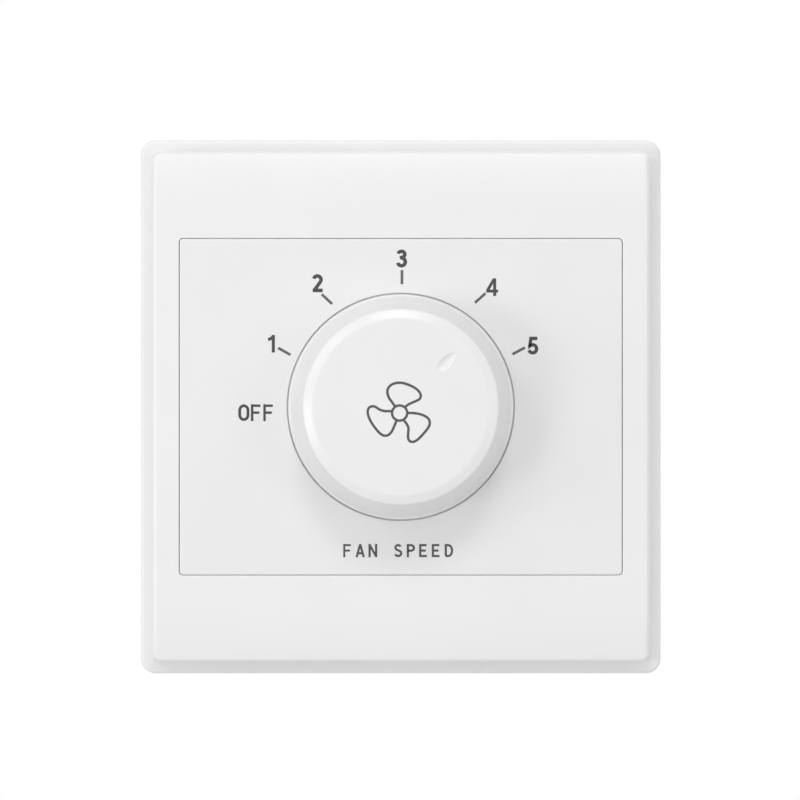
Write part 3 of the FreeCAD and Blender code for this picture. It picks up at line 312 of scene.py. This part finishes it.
def screwsLook(name, headRadius):
    # the nickel's rings run round each screw of a group that stands evenly about the origin in X
    low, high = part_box(name)
    axisX = (high.x - low.x) / 2 - headRadius
    axisZ = (high.z - low.z) / 2 - headRadius
    return {**nickelLook, "axis": (axisX, abs((low.z + high.z) / 2) + axisZ)}


housingScrewLook = screwsLook("housing_screws", headRadius=2.4 * mm)
terminalScrewLook = screwsLook("terminal_screws", headRadius=2.6 * mm)
giveFinish(zincSheet("zinc_dipped_sheet", yokeLook), "mounting_yoke")
giveFinish(zincSheet("zinc_plated_drawn_steel", canLook), "potentiometer_can")
giveFinish(linedMetal("turned_steel", shaftLook), "control_shaft")
giveFinish(linedMetal("rolled_spring_steel", springLook), "knob_clip", "retaining_ring")
giveFinish(linedMetal("turned_brass_thread", bushLook), "threaded_bush")
giveFinish(linedMetal("nickel_plated_pressing", nickelLook),
           "lock_washer", "bush_nut", "triac_screw")
giveFinish(linedMetal("milled_brass", clampLook), "terminal_clamps")
giveFinish(linedMetal("tinned_brass_strip", tinnedLook), "track_pins", "switch_contacts")
giveFinish(linedMetal("rolled_spring_bronze", bronzeLook), "wiper", "switch_lever")
giveFinish(linedMetal("mill_finish_aluminium", sinkLook), "heat_sink")
giveFinish(linedMetal("enamelled_copper_wire", enamelLook), "choke_winding")
giveFinish(linedMetal("nickel_plated_screw", housingScrewLook), "housing_screws")
giveFinish(linedMetal("nickel_plated_slotted_screw", terminalScrewLook), "terminal_screws")
print("metals done")


# The regulator's components and boards


def leadedBody(name, look):
    # the component's own coat, and tinned metal where its leads come out behind a given depth;
    # colour bands, where it has them, are slices across Z
    material, tree, where = newFinish(name)
    cloud = addNode(tree, "ShaderNodeTexNoise", {
        "Vector": where, "Scale": 1 / look["cloudSize"],
        "Detail": noiseDetail["cloud"]}).outputs["Fac"]
    colour = mixColours(tree, look, cloud)
    place = addNode(tree, "ShaderNodeSeparateXYZ", {0: where})
    for offset, bandColour in look.get("bands", ()):
        band = addNode(tree, "ShaderNodeMath", {
            0: place.outputs[2], 1: look["middleZ"] + offset, 2: look["bandWidth"] / 2},
            operation="COMPARE")
        colour = addNode(tree, "ShaderNodeMix", {
            0: band.outputs[0], 6: colour, 7: toLinear(bandColour)},
            data_type="RGBA").outputs[2]
    isLead = addNode(tree, "ShaderNodeMath", {
        0: place.outputs[1], 1: look["leadStart"]}, operation="GREATER_THAN").outputs[0]
    colour = addNode(tree, "ShaderNodeMix", {
        0: isLead, 6: colour, 7: toLinear(leads["colour"])}, data_type="RGBA").outputs[2]
    bump = addNode(tree, "ShaderNodeBump", {
        "Strength": resin["bumpStrength"], "Distance": look["bumpHeight"], "Height": cloud})
    closeFinish(tree, {
        "Base Color": colour, "Metallic": isLead, "Roughness": spreadRoughness(tree, look, cloud),
        "Normal": bump.outputs[0], "IOR": resin["ior"]})
    return material


def bodyBack(name, leadLength):
    # depth at which the leads come out: the back of the node's box less the leads' length
    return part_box(name)[1].y - leadLength


def middleZ(name):
    low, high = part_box(name)
    return (low.z + high.z) / 2


resin = {"ior": 1.55, "bumpStrength": 0.6}   # of all the coats and sheets below
# tinned copper wire; it goes through the board's 1.6 mm, with 0.8 mm to spare behind it and 1 mm
# in front, and the triac stands 1.6 mm further off
leads = {"colour": "#C9C6BC", "length": 3.4 * mm, "triacGap": 1.6 * mm}
# moulded box filled with resin: opaque yellow, slightly glossy
filmLook = {
    "colour": "#DDAF33", "colourToo": "#D4A428", "roughness": (0.28, 0.38),
    "cloudSize": 4 * mm, "bumpHeight": 0.01 * mm,
    "leadStart": bodyBack("film_capacitor", leads["length"]),
}
# dipped in resin: red brown, glossy and slightly wavy
timingLook = {
    "colour": "#7A2E1C", "colourToo": "#6B2415", "roughness": (0.14, 0.24),
    "cloudSize": 1.6 * mm, "bumpHeight": 0.08 * mm,
    "leadStart": bodyBack("timing_capacitor", leads["length"]),
}
# moulded phenolic case: dark brown
fuseLook = {
    "colour": "#4A3023", "colourToo": "#3F281D", "roughness": (0.30, 0.42),
    "cloudSize": 1.5 * mm, "bumpHeight": 0.01 * mm,
    "leadStart": bodyBack("fuse", leads["length"]),
}
# lacquered ceramic rod: sand coloured with four colour rings
resistorLook = {
    "colour": "#D8C59B", "colourToo": "#CDB98C", "roughness": (0.18, 0.28),
    "cloudSize": 1.0 * mm, "bumpHeight": 0.02 * mm,
    "leadStart": bodyBack("resistors", leads["length"]),
    "middleZ": middleZ("resistors"), "bandWidth": 0.55 * mm,
    "bands": ((2.2 * mm, "#5A3A22"), (1.0 * mm, "#1C1C1C"),
              (-0.1 * mm, "#C8561E"), (-2.1 * mm, "#B08A2E")),
}
# lacquered glass bead: deep blue with one black ring
diacLook = {
    "colour": "#2F4F8C", "colourToo": "#284578", "roughness": (0.10, 0.18),
    "cloudSize": 0.8 * mm, "bumpHeight": 0.01 * mm,
    "leadStart": bodyBack("diac", leads["length"]),
    "middleZ": middleZ("diac"), "bandWidth": 0.5 * mm,
    "bands": ((1.2 * mm, "#15161A"),),
}
# epoxy pressed round the chip: black and matt, with tinned legs
triacLook = {
    "colour": "#1B1B1D", "colourToo": "#232326", "roughness": (0.42, 0.54),
    "cloudSize": 1.0 * mm, "bumpHeight": 0.01 * mm,
    "leadStart": bodyBack("triac", leads["length"] + leads["triacGap"]),
}
giveFinish(leadedBody("potted_capacitor_case", filmLook), "film_capacitor")
giveFinish(leadedBody("dipped_resin", timingLook), "timing_capacitor")
giveFinish(leadedBody("moulded_fuse_case", fuseLook), "fuse")
giveFinish(leadedBody("lacquered_resistor", resistorLook), "resistors")
giveFinish(leadedBody("lacquered_glass", diacLook), "diac")
giveFinish(leadedBody("pressed_epoxy", triacLook), "triac")


def pressedSheet(name, look):
    # paper laminate or sintered powder: a base colour with fibres or grains, and a second colour
    # where a ring round Y, or everything behind a depth, is coated
    material, tree, where = newFinish(name)
    fibre = addNode(tree, "ShaderNodeMapping", {"Vector": where, "Scale": look["stretch"]})
    noise = addNode(tree, "ShaderNodeTexNoise", {
        "Vector": fibre.outputs[0], "Scale": 1 / look["fibreSize"],
        "Detail": noiseDetail["fibre"]}).outputs["Fac"]
    if "ring" in look:
        middle, width = look["ring"]
        coated = addNode(tree, "ShaderNodeMath", {
            0: distanceFromY(tree, where), 1: middle, 2: width / 2}, operation="COMPARE")
    else:
        place = addNode(tree, "ShaderNodeSeparateXYZ", {0: where})
        coated = addNode(tree, "ShaderNodeMath", {
            0: place.outputs[1], 1: look["coatStart"]}, operation="GREATER_THAN")
    colour = addNode(tree, "ShaderNodeMix", {
        0: coated.outputs[0], 6: mixColours(tree, look, noise), 7: toLinear(look["coatColour"])},
        data_type="RGBA")
    bump = addNode(tree, "ShaderNodeBump", {
        "Strength": resin["bumpStrength"], "Distance": look["fibreHeight"], "Height": noise})
    closeFinish(tree, {
        "Base Color": colour.outputs[2],
        "Roughness": spreadRoughness(tree, look, coated.outputs[0], wholeRange),
        "Normal": bump.outputs[0], "IOR": resin["ior"]})
    return material


boardFront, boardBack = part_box("circuit_board")
# paper laminate: brown with short fibres, and green solder resist on its back
boardLook = {
    "colour": "#A5793F", "colourToo": "#8F6633", "roughness": (0.48, 0.24),
    "fibreSize": 0.8 * mm, "stretch": (0.3, 1.0, 1.0), "fibreHeight": 0.01 * mm,
    "coatStart": (boardFront.y + boardBack.y) / 2, "coatColour": "#2E5A3B",
}
# paper laminate with a printed carbon track, which the wiper polishes
trackLook = {
    "colour": "#7D5C33", "colourToo": "#6C4E2A", "roughness": (0.46, 0.30),
    "fibreSize": 0.6 * mm, "stretch": (0.3, 1.0, 1.0), "fibreHeight": 0.01 * mm,
    "ring": (8.6 * mm, 2.6 * mm),   # the track's middle radius and its width
    "coatColour": "#1D1C1B",
}
# sintered ferrite: charcoal, dull and granular; its coat starts a metre behind it, so it has none
ferriteLook = {
    "colour": "#38383B", "colourToo": "#2C2C2F", "roughness": (0.62, 0.62),
    "fibreSize": 0.3 * mm, "stretch": (1.0, 1.0, 1.0), "fibreHeight": 0.02 * mm,
    "coatStart": 1.0, "coatColour": "#38383B",
}
giveFinish(pressedSheet("paper_laminate_with_resist", boardLook), "circuit_board")
giveFinish(pressedSheet("paper_laminate_with_carbon", trackLook), "track_board")
giveFinish(pressedSheet("sintered_ferrite", ferriteLook), "choke_core")
print("board and components done")


# Printing on the panel and the knob: every line is a flat strip of ink with a real thickness

# the photograph: its side in pixels, its scale on the plate, and where the knob's axis stands
photo = {"side": 800, "pixelsPerMm": 6.035, "knobPixel": (400.8, 406.8)}
# the camera: how far it stands from the wall, its sensor in millimetres, how far it sees in metres
lens = {"distance": 1600 * mm, "sensor": 36.0, "clipEnd": 20}

inkSettings = {
    "thickness": 0.015 * mm,
    "sink": 0.01 * mm,        # how far a strip goes into the plastic
    "stagger": 0.001 * mm,    # how much prouder each line is than the last
    "staggerSteps": 12,       # lines after which that starts again
    "mitreLimit": 2.1,        # how far a corner reaches, in half widths
    "roughness": 0.55, "ior": 1.5,
    "cloudSize": 0.5 * mm, "bumpHeight": 0.002 * mm, "bumpStrength": 0.5,
}


def bow(centre, radii, start, end, count=24):
    # part of an ellipse: the centre plus the cosine and sine of the angle times the two radii
    angle = np.radians(np.linspace(start, end, count))
    x, z = centre[0] + radii[0] * np.cos(angle), centre[1] + radii[1] * np.sin(angle)
    return np.stack([x, z], axis=1)


def through(*pieces):
    # one path out of points and bows, joined by straight lines
    return np.concatenate([np.atleast_2d(np.asarray(piece, float)) for piece in pieces])


def smoothThrough(points, perSpan):
    # Catmull-Rom curve: on each span a cubic whose slope at a point comes from its neighbours;
    # each end is carried on straight for one point more
    path = np.concatenate([2 * points[:1] - points[1:2], points, 2 * points[-1:] - points[-2:-1]])
    before, start, end, after = path[:-3], path[1:-2], path[2:-1], path[3:]
    t = np.linspace(0, 1, perSpan, endpoint=False)[:, None, None]
    curve = 0.5 * (2 * start + (end - before) * t
                   + (2 * before - 5 * start + 4 * end - after) * t ** 2
                   + (3 * start - before - 3 * end + after) * t ** 3)
    return np.concatenate([curve.transpose(1, 0, 2).reshape(-1, 2), points[-1:]])


def strip(path, width, base, top, closed):
    # a line of one width: each point moves to both sides along the sum of the two neighbouring
    # normals, divided by half of its squared length, which is a mitre; each stretch has four
    # faces, and a cap closes each end
    step = np.roll(path, -1, axis=0) - path if closed else np.diff(path, axis=0)
    along = step / np.linalg.norm(step, axis=1, keepdims=True)
    across = np.stack([-along[:, 1], along[:, 0]], axis=1)
    if closed:
        total = np.roll(across, 1, axis=0) + across
    else:
        total = np.concatenate([across[:1], across]) + np.concatenate([across, across[-1:]])
    length = np.linalg.norm(total, axis=1, keepdims=True)
    mitre = total / length * np.minimum(2 / length, inkSettings["mitreLimit"])
    left, right = path + mitre * width / 2, path - mitre * width / 2
    sides = np.stack([left, left, right, right], axis=1)
    depth = np.broadcast_to(np.array([base, top, top, base]), sides.shape[:2])
    points = np.stack([sides[..., 0], depth, sides[..., 1]], axis=2).reshape(-1, 3)
    ring = np.arange(len(points)).reshape(-1, 4)
    ahead = np.roll(ring, -1, axis=0)
    if not closed:
        ring, ahead = ring[:-1], ahead[:-1]
    faces = np.stack([
        ring, np.roll(ring, -1, axis=1), np.roll(ahead, -1, axis=1), ahead], axis=2)
    faces = faces.reshape(-1, 4)
    if not closed:
        caps = [[0, 3, 2, 1], ahead[-1]]
        faces = np.concatenate([faces, caps])
    return points, faces


def printedInk(look):
    # pad printed ink: dark grey, matt, a little uneven in density as the pad laid it down
    material, tree, where = newFinish(look["name"])
    density = addNode(tree, "ShaderNodeTexNoise", {
        "Vector": where, "Scale": 1 / inkSettings["cloudSize"],
        "Detail": noiseDetail["grain"]}).outputs["Fac"]
    bump = addNode(tree, "ShaderNodeBump", {
        "Strength": inkSettings["bumpStrength"], "Distance": inkSettings["bumpHeight"],
        "Height": density})
    closeFinish(tree, {
        "Base Color": mixColours(tree, look, density), "Roughness": inkSettings["roughness"],
        "Normal": bump.outputs[0], "IOR": inkSettings["ior"]})
    return material


def printPiece(name, body, lines, surface, look):
    # all the strips of one print in one mesh, each a hair prouder than the last where two cross;
    # its sizes are the photograph's at the wall, and a surface nearer to the camera looks larger,
    # so they shrink by its share of the distance
    scale = mm * (1 + surface / lens["distance"])
    back = surface + inkSettings["sink"]
    points, faces, count = [], [], 0
    for number, (path, width, closed) in enumerate(lines):
        stagger = number % inkSettings["staggerSteps"] * inkSettings["stagger"]
        front = surface - inkSettings["thickness"] - stagger
        corners, quads = strip(path * scale, width * scale, back, front, closed)
        points.append(corners)
        faces.append(quads + count)
        count += len(corners)
    mesh = bpy.data.meshes.new(name)
    mesh.from_pydata(np.concatenate(points).tolist(), [], np.concatenate(faces).tolist())
    mesh.materials.append(printedInk(look))
    piece = bpy.data.objects.new(name, mesh)
    bpy.context.scene.collection.objects.link(piece)
    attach(piece, body)


# letters and numbers, as lines in a box one high; low and high are the middles of level lines
low, high = 0.09, 0.91
glyphs = {
    "1": [through((0.42, 0), (0.42, 1)), through((0.42, 0.90), (0.30, 0.80), (0.12, 0.73))],
    "2": [through(bow((0.315, 0.70), (0.208, 0.21), 165, -32), (0.15, 0.11)),
          through((0.045, low), (0.615, low))],
    "3": [through(bow((0.30, 0.735), (0.187, 0.175), 168, -85), (0.20, 0.545)),
          through(bow((0.30, 0.305), (0.217, 0.215), 82, -168))],
    "4": [through((0.48, 0), (0.48, 1)), through((0.45, 0.96), (0.065, 0.30)),
          through((0, 0.275), (0.67, 0.275))],
    "5": [through((0.56, high), (0.20, high), (0.135, 0.49),
                  bow((0.30, 0.32), (0.22, 0.23), 140, -162))],
    "O": [through(bow((0.31, 0.63), (0.245, high - 0.63), 0, 180),
                  bow((0.31, 0.37), (0.245, high - 0.63), 180, 360))],
    "F": [through((0.09, 0), (0.09, 1)), through((0.09, high), (0.58, high)),
          through((0.09, 0.5), (0.52, 0.5))],
    "A": [through((0.04, 0), (0.31, 0.98)), through((0.58, 0), (0.31, 0.98)),
          through((0.12, 0.3), (0.50, 0.3))],
    "N": [through((0.07, 0), (0.07, 1)), through((0.07, 0.93), (0.56, 0.07)),
          through((0.56, 0), (0.56, 1))],
    "S": [through(bow((0.31, 0.725), (0.20, 0.185), 25, 245),
                  bow((0.31, 0.295), (0.23, 0.205), 65, -160))],
    "P": [through((0.08, 0), (0.08, high), bow((0.30, 0.70), (0.235, high - 0.70), 90, -90),
                  (0.08, 0.49))],
    "E": [through((0.56, high), (0.08, high), (0.08, low), (0.58, low)),
          through((0.08, 0.5), (0.5, 0.5))],
    "D": [through((0.08, low), (0.08, high), bow((0.26, 0.5), (0.29, high - 0.5), 90, -90),
                  (0.08, low))],
}
closedGlyphs = "O"
# how bold a sign stands against the others, where the print isn't even
boldness = {"1": 0.92, "2": 1.06, "3": 1.07, "4": 0.88, "O": 1.05, "F": 0.92}


def written(text, centre, height, pitch, width):
    # each sign's lines, scaled to the height and centred on its own place along the line of text
    lines = []
    for number, sign in enumerate(text):
        if sign == " ":
            continue
        reach = np.concatenate(glyphs[sign])
        middle = np.array([(reach[:, 0].min() + reach[:, 0].max()) / 2, 0.5])
        place = np.array([centre[0] + (number - (len(text) - 1) / 2) * pitch, centre[1]])
        bold, closed = width * boldness.get(sign, 1), sign in closedGlyphs
        lines += [((path - middle) * height + place, bold, closed) for path in glyphs[sign]]
    return lines


# places and sizes in millimetres: X and Z from the knob's axis, as the photograph shows them
numbers = {
    "places": {"1": (-21.56, 10.46), "2": (-13.78, 20.49), "3": (0.12, 24.58),
               "4": (15.13, 19.84), "5": (21.93, 10.14)},
    "height": 2.92, "width": 0.56,
    "off": {"centre": (-23.95, -0.96), "height": 2.8, "pitch": 2.06, "width": 0.44},
    "ink": {"name": "pad_printed_dark_ink", "colour": "#3C3C3D", "colourToo": "#454546"},
}
# each tick's angle on the dial and its middle
ticks = {
    "places": {151: (-19.31, 9.19), 137: (-12.24, 17.85), 90: (0.19, 21.5),
               42: (13.16, 18.03), 28: (19.53, 9.27)},
    "length": 2.35, "width": 0.45,
    "ink": {"name": "pad_printed_grey_ink", "colour": "#5A5A5B", "colourToo": "#636364"},
}
words = {
    "text": "FAN SPEED", "centre": (-0.43, -23.82), "height": 2.2, "pitch": 2.1, "width": 0.36,
    "ink": {"name": "pad_printed_fine_ink", "colour": "#484849", "colourToo": "#525253"},
}
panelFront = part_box("insert_panel")[0].y
lines = [line for sign, place in numbers["places"].items()
         for line in written(sign, place, numbers["height"], 0, numbers["width"])]
off = numbers["off"]
lines += written("OFF", off["centre"], off["height"], off["pitch"], off["width"])
printPiece("dial_numbers", "wall_unit", lines, panelFront, numbers["ink"])
lines = []
for angle, place in ticks["places"].items():
    along = np.array([math.cos(math.radians(angle)), math.sin(math.radians(angle))])
    reach = ticks["length"] / 2 * along
    lines.append((np.array([place - reach, place + reach]), ticks["width"], False))
printPiece("dial_ticks", "wall_unit", lines, panelFront, ticks["ink"])
lines = written(words["text"], words["centre"], words["height"], words["pitch"], words["width"])
printPiece("dial_words", "wall_unit", lines, panelFront, words["ink"])

# the fan: a ring and three blades, each an open line that starts and ends on the ring
fan = {
    "hub": (-0.2, -1.02), "hubRadius": 1.26, "hubPoints": 60, "width": 0.42,
    "pointsPerSpan": 4,
    "blades": (
        ((-0.94, 0.05), (-1.53, 0.89), (-1.94, 1.48), (-2.18, 2.13), (-2.22, 2.72),
         (-1.94, 3.32), (-1.41, 3.75), (-0.70, 3.97), (0.25, 3.97), (1.19, 3.70),
         (2.14, 3.26), (2.91, 2.67), (3.30, 2.01), (3.18, 1.40), (2.79, 1.10),
         (1.90, 0.71), (1.19, 0.36), (0.66, -0.06)),
        ((-1.47, -0.68), (-2.48, -0.71), (-3.19, -0.57), (-3.72, -0.32), (-4.19, 0.00),
         (-4.67, 0.10), (-5.14, -0.03), (-5.43, -0.45), (-5.47, -1.12), (-5.20, -1.95),
         (-4.67, -2.90), (-3.96, -3.84), (-3.30, -4.50), (-2.65, -4.78), (-2.00, -4.61),
         (-1.47, -4.02), (-1.06, -3.13), (-0.70, -2.25)),
        ((1.06, -1.00), (2.14, -1.03), (3.09, -1.18), (3.92, -1.48), (4.51, -1.89),
         (4.78, -2.42), (4.74, -3.02), (4.39, -3.66), (3.80, -4.38), (3.09, -5.15),
         (2.49, -5.62), (1.90, -5.80), (1.40, -5.60), (1.20, -5.03), (1.23, -4.15),
         (1.25, -3.49), (1.02, -2.90), (0.54, -2.25)),
    ),
    "ink": {"name": "pad_printed_symbol_ink", "colour": "#4C4C4D", "colourToo": "#555556"},
}
hubRadii = (fan["hubRadius"], fan["hubRadius"])
hub = bow(fan["hub"], hubRadii, 0, 360, fan["hubPoints"] + 1)[:-1]
blades = [smoothThrough(np.array(blade), fan["pointsPerSpan"]) for blade in fan["blades"]]
lines = [(hub, fan["width"], True), *((blade, fan["width"], False) for blade in blades)]
printPiece("fan_symbol", "turning_knob", lines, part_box("knob")[0].y, fan["ink"])
print("printing done")


# Studio: the world, lamps, a pale floor and the camera

studio = {
    "worldLevel": 0.50,         # what lights the object; the camera and glossy rays see 1, white
    "floorDrop": 600 * mm,      # below the knob's axis, out of the photograph's frame
    "floorRadius": 900 * mm,
    "floorRings": 12, "floorSpokes": 64,
    "floorMiddle": 0.02,        # share of the radius that one face in the middle closes
    "floorFade": (0.25, 0.95),  # shares of the radius over which the camera sees it turn white
    "floorColour": "#ECECEB",
    # side is counter-clockwise from the right, seen from the front, and lift is the angle out of
    # the wall, both in degrees; distance and size are in metres
    "lampDistance": 1.15,
    "lamps": {
        "topLamp": {"side": 90, "lift": 50, "size": 0.3, "watts": 2.3},
        "topLeftLamp": {"side": 140, "lift": 50, "size": 0.3, "watts": 1.0},
        "leftLamp": {"side": 190, "lift": 50, "size": 0.3, "watts": 1.7},
        "rightLamp": {"side": 0, "lift": 50, "size": 0.5, "watts": 1.2},
        "grazingRightLamp": {"side": 45, "lift": 25, "size": 0.5, "watts": 0.8},
        "grazingLamp": {"side": 135, "lift": 25, "size": 0.5, "watts": 0.8},
        "grazingLeftLamp": {"side": 180, "lift": 25, "size": 0.5, "watts": 1.2},
        "backLamp": {"side": 45, "lift": -50, "size": 1.4, "watts": 4.2},
    },
}
white = (1, 1, 1, 1)


def buildWorld():
    # even light of the world's level, and plain white where camera, glossy and transmission rays
    # look at it
    world = bpy.data.worlds.new("studio")
    bpy.context.scene.world = world
    world.use_nodes = True
    tree = world.node_tree
    tree.nodes.clear()
    path = addNode(tree, "ShaderNodeLightPath").outputs
    seen = addNode(tree, "ShaderNodeMath", {
        0: path["Is Camera Ray"], 1: path["Is Glossy Ray"]}, operation="MAXIMUM")
    seen = addNode(tree, "ShaderNodeMath", {
        0: seen.outputs[0], 1: path["Is Transmission Ray"]}, operation="MAXIMUM")
    strength = addNode(tree, "ShaderNodeMapRange", {
        "Value": seen.outputs[0], "To Min": studio["worldLevel"], "To Max": 1.0})
    background = addNode(tree, "ShaderNodeBackground", {
        "Color": white, "Strength": strength.outputs[0]})
    addNode(tree, "ShaderNodeOutputWorld", {"Surface": background.outputs[0]})


def addLamp(name, settings):
    # a square lamp that faces the origin; its place is the distance times the cosine of the lift,
    # turned by the side's angle round Y, and the sine of the lift out of the wall
    side, lift = math.radians(settings["side"]), math.radians(settings["lift"])
    place = studio["lampDistance"] * Vector((
        math.cos(lift) * math.cos(side), -math.sin(lift), math.cos(lift) * math.sin(side)))
    lamp = bpy.data.lights.new(name, "AREA")
    lamp.size = settings["size"]
    lamp.energy = settings["watts"]
    holder = bpy.data.objects.new(name, lamp)
    holder.location = place
    holder.rotation_euler = (-place).to_track_quat("-Z", "Y").to_euler()
    bpy.context.scene.collection.objects.link(holder)


def buildFloor():
    # a disc on a grid of radius and angle; its colour gives way to white towards the rim
    rings, spokes = studio["floorRings"], studio["floorSpokes"]
    radius = np.linspace(studio["floorMiddle"], 1, rings)[:, None] * studio["floorRadius"]
    angle = np.linspace(0, 2 * math.pi, spokes, endpoint=False)[None, :]
    height = np.full((rings, spokes), -studio["floorDrop"])
    points = np.stack([radius * np.cos(angle), radius * np.sin(angle), height], axis=2)
    grid = np.arange(rings * spokes).reshape(rings, spokes)
    ahead = np.roll(grid, -1, axis=1)
    faces = np.stack([grid[:-1], grid[1:], ahead[1:], ahead[:-1]], axis=2).reshape(-1, 4)
    mesh = bpy.data.meshes.new("floor")
    mesh.from_pydata(points.reshape(-1, 3).tolist(), [], [*faces.tolist(), grid[0].tolist()])
    material, tree, where = newFinish("painted_board")
    flat = addNode(tree, "ShaderNodeVectorMath", {0: where, 1: (1, 1, 0)}, operation="MULTIPLY")
    reach = addNode(tree, "ShaderNodeVectorMath", {0: flat.outputs[0]}, operation="LENGTH")
    fadeStart, fadeEnd = studio["floorFade"]
    fade = addNode(tree, "ShaderNodeMapRange", {
        "Value": reach.outputs["Value"], "From Min": fadeStart * studio["floorRadius"],
        "From Max": fadeEnd * studio["floorRadius"]}, interpolation_type="SMOOTHSTEP")
    path = addNode(tree, "ShaderNodeLightPath").outputs
    seen = addNode(tree, "ShaderNodeMath", {
        0: path["Is Camera Ray"], 1: path["Is Glossy Ray"]}, operation="MAXIMUM")
    share = addNode(tree, "ShaderNodeMath", {
        0: fade.outputs[0], 1: seen.outputs[0]}, operation="MULTIPLY")
    paint = addNode(tree, "ShaderNodeBsdfDiffuse", {"Color": toLinear(studio["floorColour"])})
    glow = addNode(tree, "ShaderNodeEmission", {"Color": white, "Strength": 1.0})
    both = addNode(tree, "ShaderNodeMixShader", {
        0: share.outputs[0], 1: paint.outputs[0], 2: glow.outputs[0]})
    addNode(tree, "ShaderNodeOutputMaterial", {"Surface": both.outputs[0]})
    mesh.materials.append(material)
    floor = bpy.data.objects.new("floor", mesh)
    bpy.context.scene.collection.objects.link(floor)


def buildCamera():
    # level and straight on, moved so that the knob's axis falls on its pixel; the lens's length is
    # the sensor times the distance over the width of wall that the photograph shows
    middle = photo["side"] / 2
    shiftX = (middle - photo["knobPixel"][0]) / photo["pixelsPerMm"] * mm
    shiftZ = (photo["knobPixel"][1] - middle) / photo["pixelsPerMm"] * mm
    view = photo["side"] / photo["pixelsPerMm"] * mm
    camera = bpy.data.cameras.new("camera")
    camera.sensor_width = lens["sensor"]
    camera.lens = lens["sensor"] * lens["distance"] / view
    camera.clip_end = lens["clipEnd"]
    holder = bpy.data.objects.new("camera", camera)
    holder.location = (shiftX, -lens["distance"], shiftZ)
    holder.rotation_euler = (math.radians(90), 0, 0)
    bpy.context.scene.collection.objects.link(holder)
    bpy.context.scene.camera = holder


buildWorld()
for name, settings in studio["lamps"].items():
    addLamp(name, settings)
buildFloor()
buildCamera()
bpy.context.scene.view_settings.view_transform = "Standard"
print("studio done")
